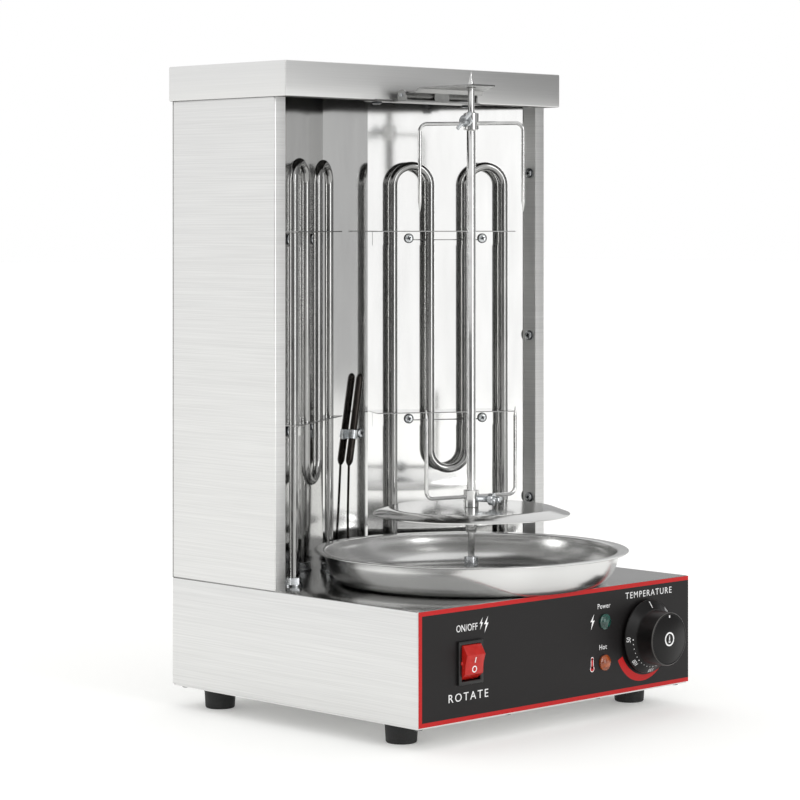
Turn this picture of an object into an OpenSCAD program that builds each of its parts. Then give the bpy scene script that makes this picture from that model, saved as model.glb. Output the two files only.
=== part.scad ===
// Countertop vertical rotisserie: a spit driven from below turns in front of two
// tube heating elements on a folded reflector, over a drip pan and a control base.
// Millimetres, +Z up, front towards -Y, origin on the floor under the middle of the whole.

/* [Base] */
// Width of the base and of the cabinet
base_w = 300; // [280:1:380]
// Depth of the base, front face to rear face
base_d = 276.5; // [260:0.5:360]
// Height of the base sides
base_h = 84; // [76:1:110]
// Height of the feet under the base sides
foot_h = 17.5; // [12:0.5:25]
// Top diameter of a foot
foot_d = 26; // [22:1:32]
// Distance from the sides to the middle of a foot
foot_in_x = 23.4; // [20:0.1:30]
// Distance from the front face to the middle of a front foot
foot_in_front = 41.3; // [30:0.1:50]
// Distance from the rear face to the middle of a rear foot
foot_in_rear = 30.8; // [25:0.1:40]
// Thickness of the sheet steel
sheet = 1; // [0.8:0.1:1.2]

/* [Cabinet] */
// Height of the cabinet between the deck and the cap
cab_h = 374.9; // [350:0.1:450]
// Distance from the base's front face to the cabinet's front
cab_setback = 155; // [150:1:165]
// Width of the front flanges
flange_w = 11; // [9:0.5:16]
// Depth of the returns behind the front flanges
return_d = 13.5; // [12:0.5:16]
// Height of the cap
cap_h = 27.2; // [24:0.1:35]
// How far the cap reaches past the cabinet's front
cap_front = 15; // [13:0.5:17]
// How far the cap reaches past the cabinet's sides
cap_side = 2.5; // [2.5:0.1:4]

/* [Reflector and elements] */
// Width of the reflector's middle panel
fold_gap = 50; // [42:1:60]
// Depth of the reflector behind the cabinet's front
reflector_depth = 82; // [80:1:90]
// Diameter of the element tube
tube_d = 7; // [6:0.1:8]
// Distance between two legs of an element
leg_pitch = 31.35; // [28:0.05:33]
// Distance along the side panel from its fold to the first leg
first_leg = 18.9; // [17:0.1:24]
// Distance from the side panel to the middle of the tube
tube_gap = 11; // [9:0.5:13]
// Top of an element's arches above the deck, at the middle of the tube
arch_top = 326; // [280:1:340]
// Bottom of an element's middle bend above the deck, at the middle of the tube
bend_low = 76.8; // [68:0.1:90]
// Heights of the element brackets above the deck
bracket_heights = [124, 272.7];
// Depth of a bracket's shelf in front of the panel
shelf_d = 17.5; // [17:0.5:20]

/* [Spit] */
// Distance from the base's front face to the spit
spit_setback = 93.5; // [90:0.5:100]
// Diameter of the spit rod
spit_d = 7; // [6:0.1:8.4]
// Diameter of the rod's ends, in the drive socket and in the holder
spit_end_d = 5.2; // [4.6:0.1:5.6]
// Diameter of the drive socket
socket_d = 11; // [10:0.5:12]
// Height of the drive socket above the deck
socket_h = 19.7; // [16:0.1:22]
// Radius of the meat disc's flat top
disc_flat_r = 64; // [55:1:70]
// Outer radius of the meat disc
disc_r = 77; // [72:1:90]
// Underside of the meat disc above the deck
disc_z = 57; // [50:0.5:60]
// Reach of a fork prong from the spit
prong_reach = 41.5; // [36:0.5:50]
// Length of a fork prong past its hub
prong_len = 69; // [50:1:75]
// Diameter of the prong wire
prong_d = 3; // [2.6:0.1:4]
// Diameter of a fork hub
hub_d = 12; // [11:0.5:15]
// Height of a fork hub
hub_h = 13.4; // [12:0.1:16]
// Top of the upper fork's hub under the cap's lower edge
upper_hub_drop = 10.1; // [9:0.1:20]

/* [Drip pan] */
// Outer radius of the drip pan
pan_r = 122.5; // [118:0.5:124]
// How far the drip pan's side leans out from its floor to its rim
pan_flare = 17.5; // [12:0.5:24]
// Height of the drip pan
pan_h = 25.4; // [20:0.1:30]
// Width of the drip pan's rim
pan_rim = 8; // [6:0.5:10]
// Thickness of the drip pan
pan_t = 0.9; // [0.8:0.1:1]

/* [Controls] */
// Rocker switch bezel, width and height
bezel = [25.4, 31.6];
// Middle of the rocker switch from the left side and from the base's lower edge
switch_at = [52, 42.7];
// Middle of the lamps from the left side
lamp_x = 200.1; // [170:0.1:205]
// Heights of the lamps above the base's lower edge
lamp_heights = [26, 57.4];
// Diameter of a lamp lens
lens_d = 12; // [10:0.5:14]
// Middle of the knob from the right side and from the base's lower edge
knob_at = [52, 41.5];
// Diameter of the knob's skirt
skirt_d = 57; // [54:1:64]
// Diameter of the knob's grip
grip_d = 42; // [36:1:44]
// How far the knob stands out from the base's front face
knob_out = 25; // [20:0.5:28]
// Tilt of the rocker either side of its middle, degrees
rocker_tilt = 10; // [6:1:12]

/* [Fits] */
// Radial running clearance of shafts and pins
run_gap = 0.05; // [0.03:0.01:0.1]
// Clearance of a part that passes a hole without touching it
pass_gap = 0.3; // [0.2:0.05:0.5]

/* [Hidden] */
$fn = 48;

// colours
steel = "gainsboro";
bright = "whitesmoke";
zinc = "silver";

// cord gland, and the depth of the whole from the pan's or the knob's front to the gland
gland_out = 14;
gland_at = [100, 32];
gland_bore_d = 8.2;
gland_stem_d = 16;
front_reach = max(pan_r - spit_setback, knob_out);
y_front = (front_reach - base_d - gland_out) / 2;
y_rear = y_front + base_d;
y_cab = y_front + cab_setback;
y_spit = y_front + spit_setback;
z_deck = foot_h + base_h;
z_cap = z_deck + cab_h;
half_w = base_w / 2;

// base
base_flange = 14;
plate_inset = 1;
label_t = 0.4;
y_face = y_front - label_t;
slot_len = 34;
slot_w = 4;
slot_pitch = 9;

// reflector: its side panels run from the cabinet's returns to the folds
return_x = half_w - flange_w;
fold_x = fold_gap / 2;
fold_y = y_cab + reflector_depth;
panel_end = [return_x + sheet, y_cab + return_d + 1];
panel_angle = atan2(fold_y - panel_end[1], panel_end[0] - fold_x);
panel_len = norm(panel_end - [fold_x, fold_y]);
reflector_top = z_cap + 12;
strip_screws = [51.3, 186, 320.7];
strip_screw_y = y_cab + return_d / 2;

// shanks of the sheet-metal screws: cabinet and holder, brackets and cap, bottom plate, feet
body_screw_d = 4.2;
panel_screw_d = 3.6;
plate_screw_d = 3.4;
foot_screw_d = 5.2;

// screws of the rear cover and of the cap
rear_screw_x = half_w - 8;
rear_screw_heights = [14, cab_h / 2, cab_h - 14];
cap_screw_xs = [-half_w + 8, 0, half_w - 8];
cap_screw_z = z_cap + cap_h / 2;

// elements
leg_x = [for (i = [0:3]) first_leg + i * leg_pitch];
bend_r = leg_pitch / 2;
z_arch = z_deck + arch_top - bend_r;
z_bend = z_deck + bend_low + bend_r;
tail = 30;
pin_len = 12;
bracket_t = 0.8;
bracket_drop = 12;
bracket_from = 4;
bracket_to = min(leg_x[3] + tube_d / 2 + 5, panel_len - 3);
bracket_screw_drop = 6.2;
bracket_screw_xs = [(leg_x[0] + leg_x[1]) / 2, (leg_x[2] + leg_x[3]) / 2];

// thermostat bulb, its capillary and its clip
bulb_d = 6;
bulb_y = fold_y - bulb_d / 2 - 2;
bulb_low = [-1, bulb_y, z_deck + 81.6];
bulb_high = [12, bulb_y, z_deck + 156];
capillary_d = 2;
knob_x = half_w - knob_at[0];
knob_z = foot_h + knob_at[1];
capillary = [bulb_low, [-3, bulb_y - 1, z_deck + 36], [-4, bulb_y - 3, z_deck + 6],
    [-4, bulb_y - 3, z_deck - 20], [0, bulb_y - 11, z_deck - 29], [10, bulb_y - 26, z_deck - 32],
    [62, y_front + 122, z_deck - 34], [knob_x, y_front + 40, z_deck - 38],
    [knob_x, y_front + 23, knob_z]];
capillary_sides = 8;
clip_share = 0.34;
clip_at = bulb_low + clip_share * (bulb_high - bulb_low);
clip_screw_x = clip_at[0] + 12;

// drive: gear motor under the deck, shaft through a bush, socket on the shaft
shaft_d = 7;
post_h = 14;
motor_top = z_deck - sheet - post_h;
motor_h = 22;
motor_d = 50;
ear_t = 1.5;
post_d = 8;
post_x = motor_d / 2 + 4.5;
bush_d = 12;
bush_flange_d = 20;
bush_h = 9;
z_socket = z_deck + 0.5;
socket_top = z_deck + socket_h;
shaft_in_socket = 7.5;
socket_floor = z_socket + shaft_in_socket;
slot_depth = 8;
drive_pin_d = 3;
drive_pin_gap = 0.2;
drive_pin_z = socket_top - slot_depth + drive_pin_d / 2 + 0.3;

// spit, from its lower end to its point
spit_low = socket_floor + 0.8;
collar_z = z_deck + 38.4;
z_disc = z_deck + disc_z;
disc_t = 1;
disc_drop = 4.5;
upper_hub_top = z_cap - upper_hub_drop;
spit_shoulder = upper_hub_top + 1;
spit_cone_z = z_cap + 11.4;
spit_cone_h = 10.4;
lower_hub_z = z_disc + disc_t;
upper_hub_z = upper_hub_top - hub_h;
prong_bend = 6;
prong_tip = 8;
wire_up = 8.2;
lower_wire_z = lower_hub_z + wire_up;
upper_wire_z = upper_hub_z + hub_h - wire_up;
bar_turn = 50;
lower_wire_angle = -12;
upper_wire_angle = -60;
lower_screw_angle = -70;
upper_screw_angle = -150;
clamp_d = 5;
clamp_head = [9.5, 4];
clamp_head_at = 15.5;
clamp_bar_at = 22;
clamp_bar = [3, 17];
clamp_len = 24.5;

// spit holder under the cap's front edge
y_cap = y_cab - cap_front;
holder_half = 58;
ear_half = 40;
ear_w = 1.6;
hinge_y = y_cap - 10;
hinge_z = z_cap + 3.6;
hinge_pin_d = 3;
barrel_d = 6;
arm_t = 1.2;
arm_back_half = ear_half - ear_w - 1;
arm_tip_half = 12;
arm_tip_y = y_spit - 13.5;
arm_step = 3.1;
arm_stop_half = 8;
arm_stop_gap = 0.1;
arm_rise = 1.9;
holder_hole_d = spit_end_d + 2.8;
holder_screw_x = ear_half + 10;
holder_screw_y = y_cap + cap_front / 2;

// controls
switch_x = switch_at[0] - half_w;
switch_z = foot_h + switch_at[1];
bezel_t = 2;
bezel_rim = [3, 2.4];
well = [bezel[0] - 2 * bezel_rim[0], bezel[1] - 2 * bezel_rim[1]];
rocker_w = well[0] - 2 * pass_gap;
rocker_r = well[1] / 2 - pass_gap;
rocker_pivot_in = 1;
rocker_edge = 4.5;
rocker_pin_d = 3;
rocker_y = y_face - bezel_t + rocker_pivot_in;
switch_body = [bezel[0] - 3, bezel[1] - 2.6];
switch_depth = 24;
lamp_px = lamp_x - half_w;
lens_neck_d = lens_d - 2.4;
thermo_box = [38, 22, 34];
thermo_neck_d = 9.6;
thermo_screw_dx = 14;
spindle_d = 6;
spindle_flat = 2;
skirt_gap = 3.2;
skirt_t = 6;

// ---------- helpers ----------

// children on the right side, or mirrored to the left side
module on_side(side) {
    if (side < 0) mirror([1, 0, 0]) children();
    else children();
}

// children in a side panel's frame: X along the panel from its fold, +Y into the panel
module on_panel(side) {
    on_side(side) translate([fold_x, fold_y, 0]) rotate([0, 0, -panel_angle]) children();
}

// a cylinder from a to b
module rod(a, b, d) {
    v = b - a;
    translate(a)
        rotate([0, acos(v[2] / norm(v)), atan2(v[1], v[0])])
            cylinder(d = d, h = norm(v));
}

// a pan-head screw, its head on z = 0 upwards and its shank downwards
module pan_screw(head_d, head_h, shank_d, len) {
    difference() {
        union() {
            cylinder(d = head_d, h = head_h);
            translate([0, 0, -len]) cylinder(d = shank_d, h = len + head_h / 2);
        }
        for (a = [0, 90])
            rotate([0, 0, a])
                translate([-head_d * 0.3, -0.45, head_h * 0.45])
                    cube([head_d * 0.6, 0.9, head_h]);
    }
}

// a slot along X with round ends, cut through a plate of thickness t above z = 0
module round_slot(len, w, t) {
    translate([0, 0, -t]) {
        translate([-(len - w) / 2, -w / 2, 0]) cube([len - w, w, 3 * t]);
        for (s = [-1, 1]) translate([s * (len - w) / 2, 0, 0]) cylinder(d = w, h = 3 * t);
    }
}

// positions of the feet
module at_foot(sx, front) {
    y = front ? y_front + foot_in_front : y_rear - foot_in_rear;
    translate([sx * (half_w - foot_in_x), y, 0]) children();
}

// ---------- base ----------

module panel_holes(y, t) {
    translate([switch_x - switch_body[0] / 2 - 0.1, y - t, switch_z - switch_body[1] / 2 - 0.1])
        cube([switch_body[0] + 0.2, 3 * t, switch_body[1] + 0.2]);
    for (h = lamp_heights)
        translate([lamp_px, y - t, foot_h + h])
            rotate([-90, 0, 0]) cylinder(d = lens_neck_d + 0.4, h = 3 * t);
    translate([knob_x, y - t, knob_z])
        rotate([-90, 0, 0]) cylinder(d = thermo_neck_d + 0.4, h = 3 * t);
    for (s = [-1, 1])
        translate([knob_x + s * thermo_screw_dx, y - t, knob_z])
            rotate([-90, 0, 0]) cylinder(d = 4.2, h = 3 * t);
}

module at_legs() {
    for (side = [-1, 1], i = [0, 3])
        on_panel(side) translate([leg_x[i], -tube_gap, 0]) children();
}

module base_screw_spots() {
    for (x = [-half_w + 8, -half_w / 3, half_w / 3, half_w - 8], y = [y_front + 8, y_rear - 8])
        translate([x, y, 0]) children();
}

module base_shell() {
    color(steel) difference() {
        translate([-half_w, y_front, foot_h]) cube([base_w, base_d, base_h]);
        translate([-half_w + sheet, y_front + sheet, foot_h + sheet])
            cube([base_w - 2 * sheet, base_d - 2 * sheet, base_h - 2 * sheet]);
        translate([-half_w + base_flange, y_front + base_flange, foot_h - 1])
            cube([base_w - 2 * base_flange, base_d - 2 * base_flange, sheet + 2]);
        base_screw_spots() translate([0, 0, foot_h - 1]) cylinder(d = plate_screw_d, h = sheet + 2);
        panel_holes(y_front, sheet);
        at_legs() translate([0, 0, z_deck - 2 * sheet]) cylinder(d = tube_d + 2, h = 3 * sheet);
        translate([0, y_spit, z_deck - 2 * sheet]) cylinder(d = bush_d + 0.2, h = 3 * sheet);
        translate([capillary[2][0], capillary[2][1], z_deck - 2 * sheet])
            cylinder(d = 6, h = 3 * sheet);
        translate([gland_at[0], y_rear - 2 * sheet, foot_h + gland_at[1]])
            rotate([-90, 0, 0]) cylinder(d = gland_stem_d + 0.2, h = 3 * sheet);
    }
}

module bottom_plate() {
    color(steel) difference() {
        translate([-half_w + plate_inset, y_front + plate_inset, foot_h - sheet])
            cube([base_w - 2 * plate_inset, base_d - 2 * plate_inset, sheet]);
        base_screw_spots() translate([0, 0, foot_h - 2 * sheet])
            cylinder(d = plate_screw_d, h = 3 * sheet);
        for (sx = [-1, 1], front = [true, false])
            at_foot(sx, front) translate([0, 0, foot_h - 2 * sheet])
                cylinder(d = foot_screw_d, h = 3 * sheet);
        for (sx = [-1, 1], i = [-4:4])
            translate([sx * half_w / 3, i * slot_pitch, foot_h - sheet])
                round_slot(slot_len, slot_w, sheet);
    }
}

module bottom_screws() {
    color(zinc) base_screw_spots()
        translate([0, 0, foot_h - sheet]) rotate([180, 0, 0]) pan_screw(7, 2, plate_screw_d, 6);
}

// a tapered foot with a well for its screw
module foot() {
    color("#262626") difference() {
        cylinder(d1 = foot_d - 3, d2 = foot_d, h = foot_h - sheet);
        translate([0, 0, -1]) cylinder(d = 11, h = foot_h - sheet - 4);
        cylinder(d = foot_screw_d, h = foot_h);
    }
}

module foot_screws() {
    color(zinc) for (sx = [-1, 1], front = [true, false])
        at_foot(sx, front) translate([0, 0, foot_h - sheet - 5])
            rotate([180, 0, 0]) pan_screw(9, 3, foot_screw_d, 9);
}

module front_label() {
    color("#332f30") difference() {
        translate([-half_w + 0.3, y_face, foot_h + 0.3])
            cube([base_w - 0.6, label_t, base_h - 0.6]);
        panel_holes(y_face, label_t);
    }
}

// ---------- cabinet ----------

// plan of the right side panel: side, front flange, return and rear flange
module side_panel() {
    color(steel) translate([0, 0, z_deck]) linear_extrude(cab_h + cap_h - sheet) polygon([
        [half_w, y_cab], [half_w, y_rear - sheet], [half_w - 15, y_rear - sheet],
        [half_w - 15, y_rear - 2 * sheet], [half_w - sheet, y_rear - 2 * sheet],
        [half_w - sheet, y_cab + sheet], [return_x + sheet, y_cab + sheet],
        [return_x + sheet, y_cab + return_d], [return_x, y_cab + return_d], [return_x, y_cab]]);
}

module side_panel_with_holes(side) {
    difference() {
        on_side(side) side_panel();
        on_side(side) for (h = strip_screws)
            translate([return_x - 1, strip_screw_y, z_deck + h])
                rotate([0, 90, 0]) cylinder(d = body_screw_d, h = sheet + 2);
        at_rear_screws(body_screw_d);
        cap_screw_holes();
    }
}

module left_side_panel() { side_panel_with_holes(-1); }

module right_side_panel() { side_panel_with_holes(1); }

module at_rear_screws(d) {
    for (sx = [-1, 1], h = rear_screw_heights)
        translate([sx * rear_screw_x, y_rear - 3 * sheet, z_deck + h])
            rotate([-90, 0, 0]) cylinder(d = d, h = 4 * sheet);
}

module cap_screw_holes() {
    for (x = cap_screw_xs)
        translate([x, y_rear - 3 * sheet, cap_screw_z])
            rotate([-90, 0, 0]) cylinder(d = panel_screw_d, h = 8 * sheet);
}

module rear_cover() {
    color(steel) difference() {
        translate([-half_w, y_rear - sheet, z_deck]) cube([base_w, sheet, cab_h + cap_h - sheet]);
        at_rear_screws(body_screw_d);
        cap_screw_holes();
        for (sx = [-1, 1], i = [-4:4], h = [cab_h * 0.2, cab_h * 0.8])
            translate([sx * half_w / 3, y_rear, z_deck + h + i * slot_pitch])
                rotate([90, 0, 0]) round_slot(slot_len * 1.6, slot_w, sheet);
    }
}

module rear_screws() {
    color(zinc) for (sx = [-1, 1], h = rear_screw_heights)
        translate([sx * rear_screw_x, y_rear, z_deck + h])
            rotate([-90, 0, 0]) pan_screw(8, 2.4, body_screw_d, 7);
}

// plan of the reflector: an edge strip behind each return, two side panels and a middle panel
module reflector() {
    t = bracket_t;
    strip_y = y_cab + 2;
    back_fold = [fold_x + t * (1 - cos(panel_angle)) / sin(panel_angle), fold_y + t];
    back_end = [panel_end[0] + t, panel_end[1] + t * (1 - sin(panel_angle)) / cos(panel_angle)];
    front = [[fold_x, fold_y], panel_end, [panel_end[0], strip_y]];
    back = [[panel_end[0] + t, strip_y], back_end, back_fold];
    right = concat(front, back);
    left = [for (i = [len(right) - 1:-1:0]) [-right[i][0], right[i][1]]];
    color(bright) difference() {
        translate([0, 0, z_deck])
            linear_extrude(reflector_top - z_deck) polygon(concat(right, left));
        for (side = [-1, 1]) on_side(side) for (h = strip_screws)
            translate([return_x - 1, strip_screw_y, z_deck + h])
                rotate([0, 90, 0]) cylinder(d = body_screw_d, h = 5);
        for (side = [-1, 1], h = bracket_heights, x = bracket_screw_xs)
            on_panel(side) translate([x, -2, z_deck + h - bracket_screw_drop])
                rotate([-90, 0, 0]) cylinder(d = panel_screw_d, h = 5);
        translate([clip_screw_x, fold_y - 1, clip_at[2]])
            rotate([-90, 0, 0]) cylinder(d = panel_screw_d, h = 4);
    }
}

module reflector_screws() {
    color(zinc) for (side = [-1, 1]) on_side(side) for (h = strip_screws)
        translate([return_x, strip_screw_y, z_deck + h])
            rotate([0, -90, 0]) pan_screw(8, 2.4, body_screw_d, 6);
}

module top_cap() {
    w = half_w + cap_side;
    d = y_rear - y_cap + sheet + 0.4;
    color(steel) difference() {
        translate([-w, y_cap, z_cap]) cube([2 * w, d, cap_h]);
        translate([-w + sheet, y_cap + sheet, z_cap + sheet])
            cube([2 * (w - sheet), d - 2 * sheet, cap_h - 2 * sheet]);
        translate([-w + sheet, y_cab - pass_gap, z_cap - 1])
            cube([2 * (w - sheet), d - cap_front - sheet + pass_gap, cap_h - sheet]);
        cap_screw_holes();
        for (s = [-1, 1])
            translate([s * holder_screw_x, holder_screw_y, z_cap - 1])
                cylinder(d = body_screw_d, h = sheet + 2);
    }
}

module cap_screws() {
    color(zinc) for (x = cap_screw_xs)
        translate([x, y_rear + sheet + 0.4, cap_screw_z])
            rotate([-90, 0, 0]) pan_screw(7, 2.2, panel_screw_d, 7);
}

// ---------- heating elements ----------

// half of a torus in the XZ plane, bulging upwards (dir 1) or downwards (dir -1)
module half_bend(x, z, dir) {
    translate([x, 0, z]) rotate([90, 0, 0])
        rotate([0, 0, dir > 0 ? 0 : 180])
            rotate_extrude(angle = 180) translate([bend_r, 0]) circle(d = tube_d);
}

module heating_element(side) {
    color("#8c8a88") on_panel(side) translate([0, -tube_gap, 0]) {
        for (i = [0, 3]) translate([leg_x[i], 0, 0]) {
            translate([0, 0, z_deck - tail]) cylinder(d = tube_d, h = z_arch - z_deck + tail);
            translate([0, 0, z_deck - tail - pin_len]) cylinder(d = 3.2, h = pin_len + 1);
        }
        for (i = [1, 2])
            translate([leg_x[i], 0, z_bend]) cylinder(d = tube_d, h = z_arch - z_bend);
        for (i = [0, 2]) half_bend((leg_x[i] + leg_x[i + 1]) / 2, z_arch, 1);
        half_bend((leg_x[1] + leg_x[2]) / 2, z_bend, -1);
    }
}

// a flanged fitting on each leg, above and below the deck
module element_nuts() {
    flange = [tube_d + 7.5, 1.5];
    hex = [tube_d + 6, 5];
    color(zinc) at_legs() difference() {
        union() {
            translate([0, 0, z_deck]) cylinder(d = flange[0], h = flange[1]);
            translate([0, 0, z_deck + flange[1]]) cylinder(d = hex[0], h = hex[1], $fn = 6);
            translate([0, 0, z_deck - sheet - hex[1] - 1])
                cylinder(d = tube_d + 1.8, h = sheet + hex[1] + 1.5);
            translate([0, 0, z_deck - sheet - hex[1]]) cylinder(d = hex[0], h = hex[1], $fn = 6);
        }
        translate([0, 0, z_deck - 12]) cylinder(d = tube_d, h = 24);
    }
}

module bracket(side, h) {
    color(bright) on_panel(side) translate([0, 0, z_deck + h]) difference() {
        union() {
            translate([bracket_from, -shelf_d, -bracket_t])
                cube([bracket_to - bracket_from, shelf_d, bracket_t]);
            translate([bracket_from, -bracket_t, -bracket_drop])
                cube([bracket_to - bracket_from, bracket_t, bracket_drop]);
        }
        for (x = leg_x)
            translate([x, -tube_gap, -bracket_t - 1])
                cylinder(d = tube_d + 2 * pass_gap, h = bracket_t + 2);
        for (x = bracket_screw_xs)
            translate([x, -bracket_t - 1, -bracket_screw_drop])
                rotate([-90, 0, 0]) cylinder(d = panel_screw_d, h = bracket_t + 2);
    }
}

module bracket_screws() {
    color(zinc) for (side = [-1, 1], h = bracket_heights, x = bracket_screw_xs)
        on_panel(side) translate([x, -bracket_t, z_deck + h - bracket_screw_drop])
            rotate([90, 0, 0]) pan_screw(8, 2.2, panel_screw_d, 5);
}

// ---------- thermostat ----------

function unit(v) = v / norm(v);

// direction of a path at point i, the mean of the two segments that meet there
function heading(path, i) =
    unit((i > 0 ? unit(path[i] - path[i - 1]) : [0, 0, 0])
        + (i < len(path) - 1 ? unit(path[i + 1] - path[i]) : [0, 0, 0]));

// a round tube of diameter d swept along a path as one closed polyhedron
module swept_tube(path, d, sides) {
    guide = [0.9, 0.3, 0.05];
    rings = [for (i = [0:len(path) - 1])
        let (h = heading(path, i), u = unit(cross(h, guide)), v = cross(h, u))
            for (k = [0:sides - 1])
                path[i] + d / 2 * (cos(360 * k / sides) * u + sin(360 * k / sides) * v)];
    last = (len(path) - 1) * sides;
    walls = [for (i = [0:len(path) - 2], k = [0:sides - 1])
        let (a = i * sides + k, b = i * sides + (k + 1) % sides) [a, a + sides, b + sides, b]];
    ends = [[for (k = [0:sides - 1]) k], [for (k = [sides - 1:-1:0]) last + k]];
    polyhedron(rings, concat(walls, ends));
}

module thermostat_bulb() {
    color("#b08d57") {
        rod(bulb_low, bulb_high, bulb_d);
        swept_tube(capillary, capillary_d, capillary_sides);
    }
}

// a saddle round the bulb on a plate that lies on the reflector
module bulb_clip() {
    dir = (bulb_high - bulb_low) / norm(bulb_high - bulb_low);
    plate_h = 8;
    half = 3.5;
    wall = 1;
    past = 7;
    color(zinc) difference() {
        union() {
            translate([clip_at[0] - past, fold_y - wall, clip_at[2] - plate_h / 2])
                cube([clip_screw_x - clip_at[0] + past + 5, wall, plate_h]);
            translate([clip_at[0] - bulb_d / 2 - wall, bulb_y, clip_at[2] - half])
                cube([bulb_d + 2 * wall, fold_y - bulb_y - wall / 2, 2 * half]);
            rod(clip_at - half * dir, clip_at + half * dir, bulb_d + 2 * wall);
        }
        rod(clip_at - 3 * half * dir, clip_at + 3 * half * dir, bulb_d + 0.2);
        translate([clip_screw_x, fold_y - 3, clip_at[2]])
            rotate([-90, 0, 0]) cylinder(d = panel_screw_d, h = 4);
        translate([clip_at[0] - 20, fold_y, clip_at[2] - 20]) cube([60, 20, 40]);
    }
}

module bulb_clip_screw() {
    color(zinc) translate([clip_screw_x, fold_y - 1, clip_at[2]])
        rotate([90, 0, 0]) pan_screw(8, 2.2, panel_screw_d, 5);
}

module thermostat_body() {
    color("#c9c4b4") difference() {
        union() {
            translate([knob_x - thermo_box[0] / 2, y_front + sheet, knob_z - thermo_box[2] / 2])
                cube(thermo_box);
            translate([knob_x, y_face, knob_z])
                rotate([-90, 0, 0]) cylinder(d = thermo_neck_d, h = label_t + sheet + 1);
        }
        translate([knob_x, y_face - 1, knob_z])
            rotate([-90, 0, 0]) cylinder(d = spindle_d + 2 * run_gap, h = 18);
        for (s = [-1, 1])
            translate([knob_x + s * thermo_screw_dx, y_front, knob_z])
                rotate([-90, 0, 0]) cylinder(d = 4, h = 8);
        translate([knob_x, y_front + 20, knob_z])
            rotate([-90, 0, 0]) cylinder(d = capillary_d + 0.4, h = 8);
    }
}

module thermostat_screws() {
    color(zinc) for (s = [-1, 1])
        translate([knob_x + s * thermo_screw_dx, y_face, knob_z])
            rotate([90, 0, 0]) pan_screw(7, 2, 4, 6);
}

// round spindle with a flat along its outer end
module spindle_shape(r, from, to) {
    intersection() {
        translate([knob_x, from, knob_z]) rotate([-90, 0, 0]) cylinder(r = r, h = to - from);
        translate([knob_x - 10, from - 1, knob_z - 10]) cube([20, to - from + 2, 10 + spindle_flat]);
    }
}

module thermostat_spindle() {
    color(zinc) {
        spindle_shape(spindle_d / 2, y_front - 15, y_front - skirt_gap);
        translate([knob_x, y_front - skirt_gap, knob_z])
            rotate([-90, 0, 0]) cylinder(d = spindle_d, h = skirt_gap + 14);
    }
}

module knob() {
    color("#2a2828") difference() {
        translate([knob_x, y_front, knob_z]) rotate([90, 0, 0]) rotate_extrude() polygon([
            [0, skirt_gap], [skirt_d / 2 - 0.5, skirt_gap], [skirt_d / 2, skirt_gap + 0.6],
            [skirt_d / 2 - 0.5, skirt_gap + 1.4],
            [grip_d / 2 + 0.6, skirt_gap + skirt_t], [grip_d / 2, skirt_gap + skirt_t + 0.8],
            [grip_d / 2 - 0.4, knob_out - 1], [grip_d / 2 - 1.4, knob_out], [0, knob_out]]);
        spindle_shape(spindle_d / 2, y_front - 15, y_front);
    }
}

// ---------- switch and lamps ----------

module switch_housing() {
    color("#1c1c1c") difference() {
        union() {
            translate([switch_x - bezel[0] / 2, y_face - bezel_t, switch_z - bezel[1] / 2])
                cube([bezel[0], bezel_t, bezel[1]]);
            translate([switch_x - switch_body[0] / 2, y_face, switch_z - switch_body[1] / 2])
                cube([switch_body[0], switch_depth, switch_body[1]]);
        }
        translate([switch_x - well[0] / 2, y_face - bezel_t - 1, switch_z - well[1] / 2])
            cube([well[0], 17, well[1]]);
        translate([switch_x - well[0] / 2 - 1, rocker_y, switch_z])
            rotate([0, 90, 0]) cylinder(d = rocker_pin_d + 2 * run_gap, h = well[0] + 2);
    }
}

// the rocker's section about its pivot: round ends that clear the well, slanted shoulders that
// rise to two ridges, and a shallow V front between them
module rocker_section() {
    edge_out = rocker_edge + rocker_pivot_in;
    ridge = rocker_r * 0.55;
    low_angle = -28;
    steps = 4;
    ends = [for (i = [0:steps]) low_angle * (1 - i / steps)];
    right = [for (a = ends) rocker_r * [cos(a), sin(a)]];
    left = [for (i = [steps:-1:0]) rocker_r * [-cos(ends[i]), sin(ends[i])]];
    front = [[ridge, edge_out], [0, edge_out - 0.8], [-ridge, edge_out]];
    polygon(concat([[6, -8]], right, front, left, [[-6, -8]]));
}

module switch_rocker() {
    color("#d8302a") translate([switch_x, rocker_y, switch_z]) {
        translate([-rocker_w / 2, 0, 0]) rotate([rocker_tilt, 0, 0])
            rotate([90, 0, 90])
                linear_extrude(rocker_w) rotate([0, 0, 90]) rocker_section();
        rotate([0, 90, 0])
            translate([0, 0, -rocker_w / 2 - 0.9]) cylinder(d = rocker_pin_d, h = rocker_w + 1.8);
    }
}

module lamp_lens(h) {
    color(h > lamp_heights[0] ? "#1f7f68" : "#c9682c")
        translate([lamp_px, y_face, foot_h + h]) rotate([90, 0, 0]) {
            cylinder(d = lens_d, h = 1.6);
            translate([0, 0, -5]) cylinder(d = lens_neck_d, h = 6);
            translate([0, 0, 1.5]) cylinder(d1 = lens_d - 1.6, d2 = lens_d - 4, h = 2.3);
        }
}

module lamp_bodies() {
    color("#e8e4d8") for (h = lamp_heights)
        translate([lamp_px, y_front + sheet, foot_h + h]) rotate([-90, 0, 0]) difference() {
            cylinder(d = lens_neck_d + 3, h = 22);
            translate([0, 0, -1]) cylinder(d = lens_neck_d + 0.2, h = 5);
        }
}

// ---------- drive ----------

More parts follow.
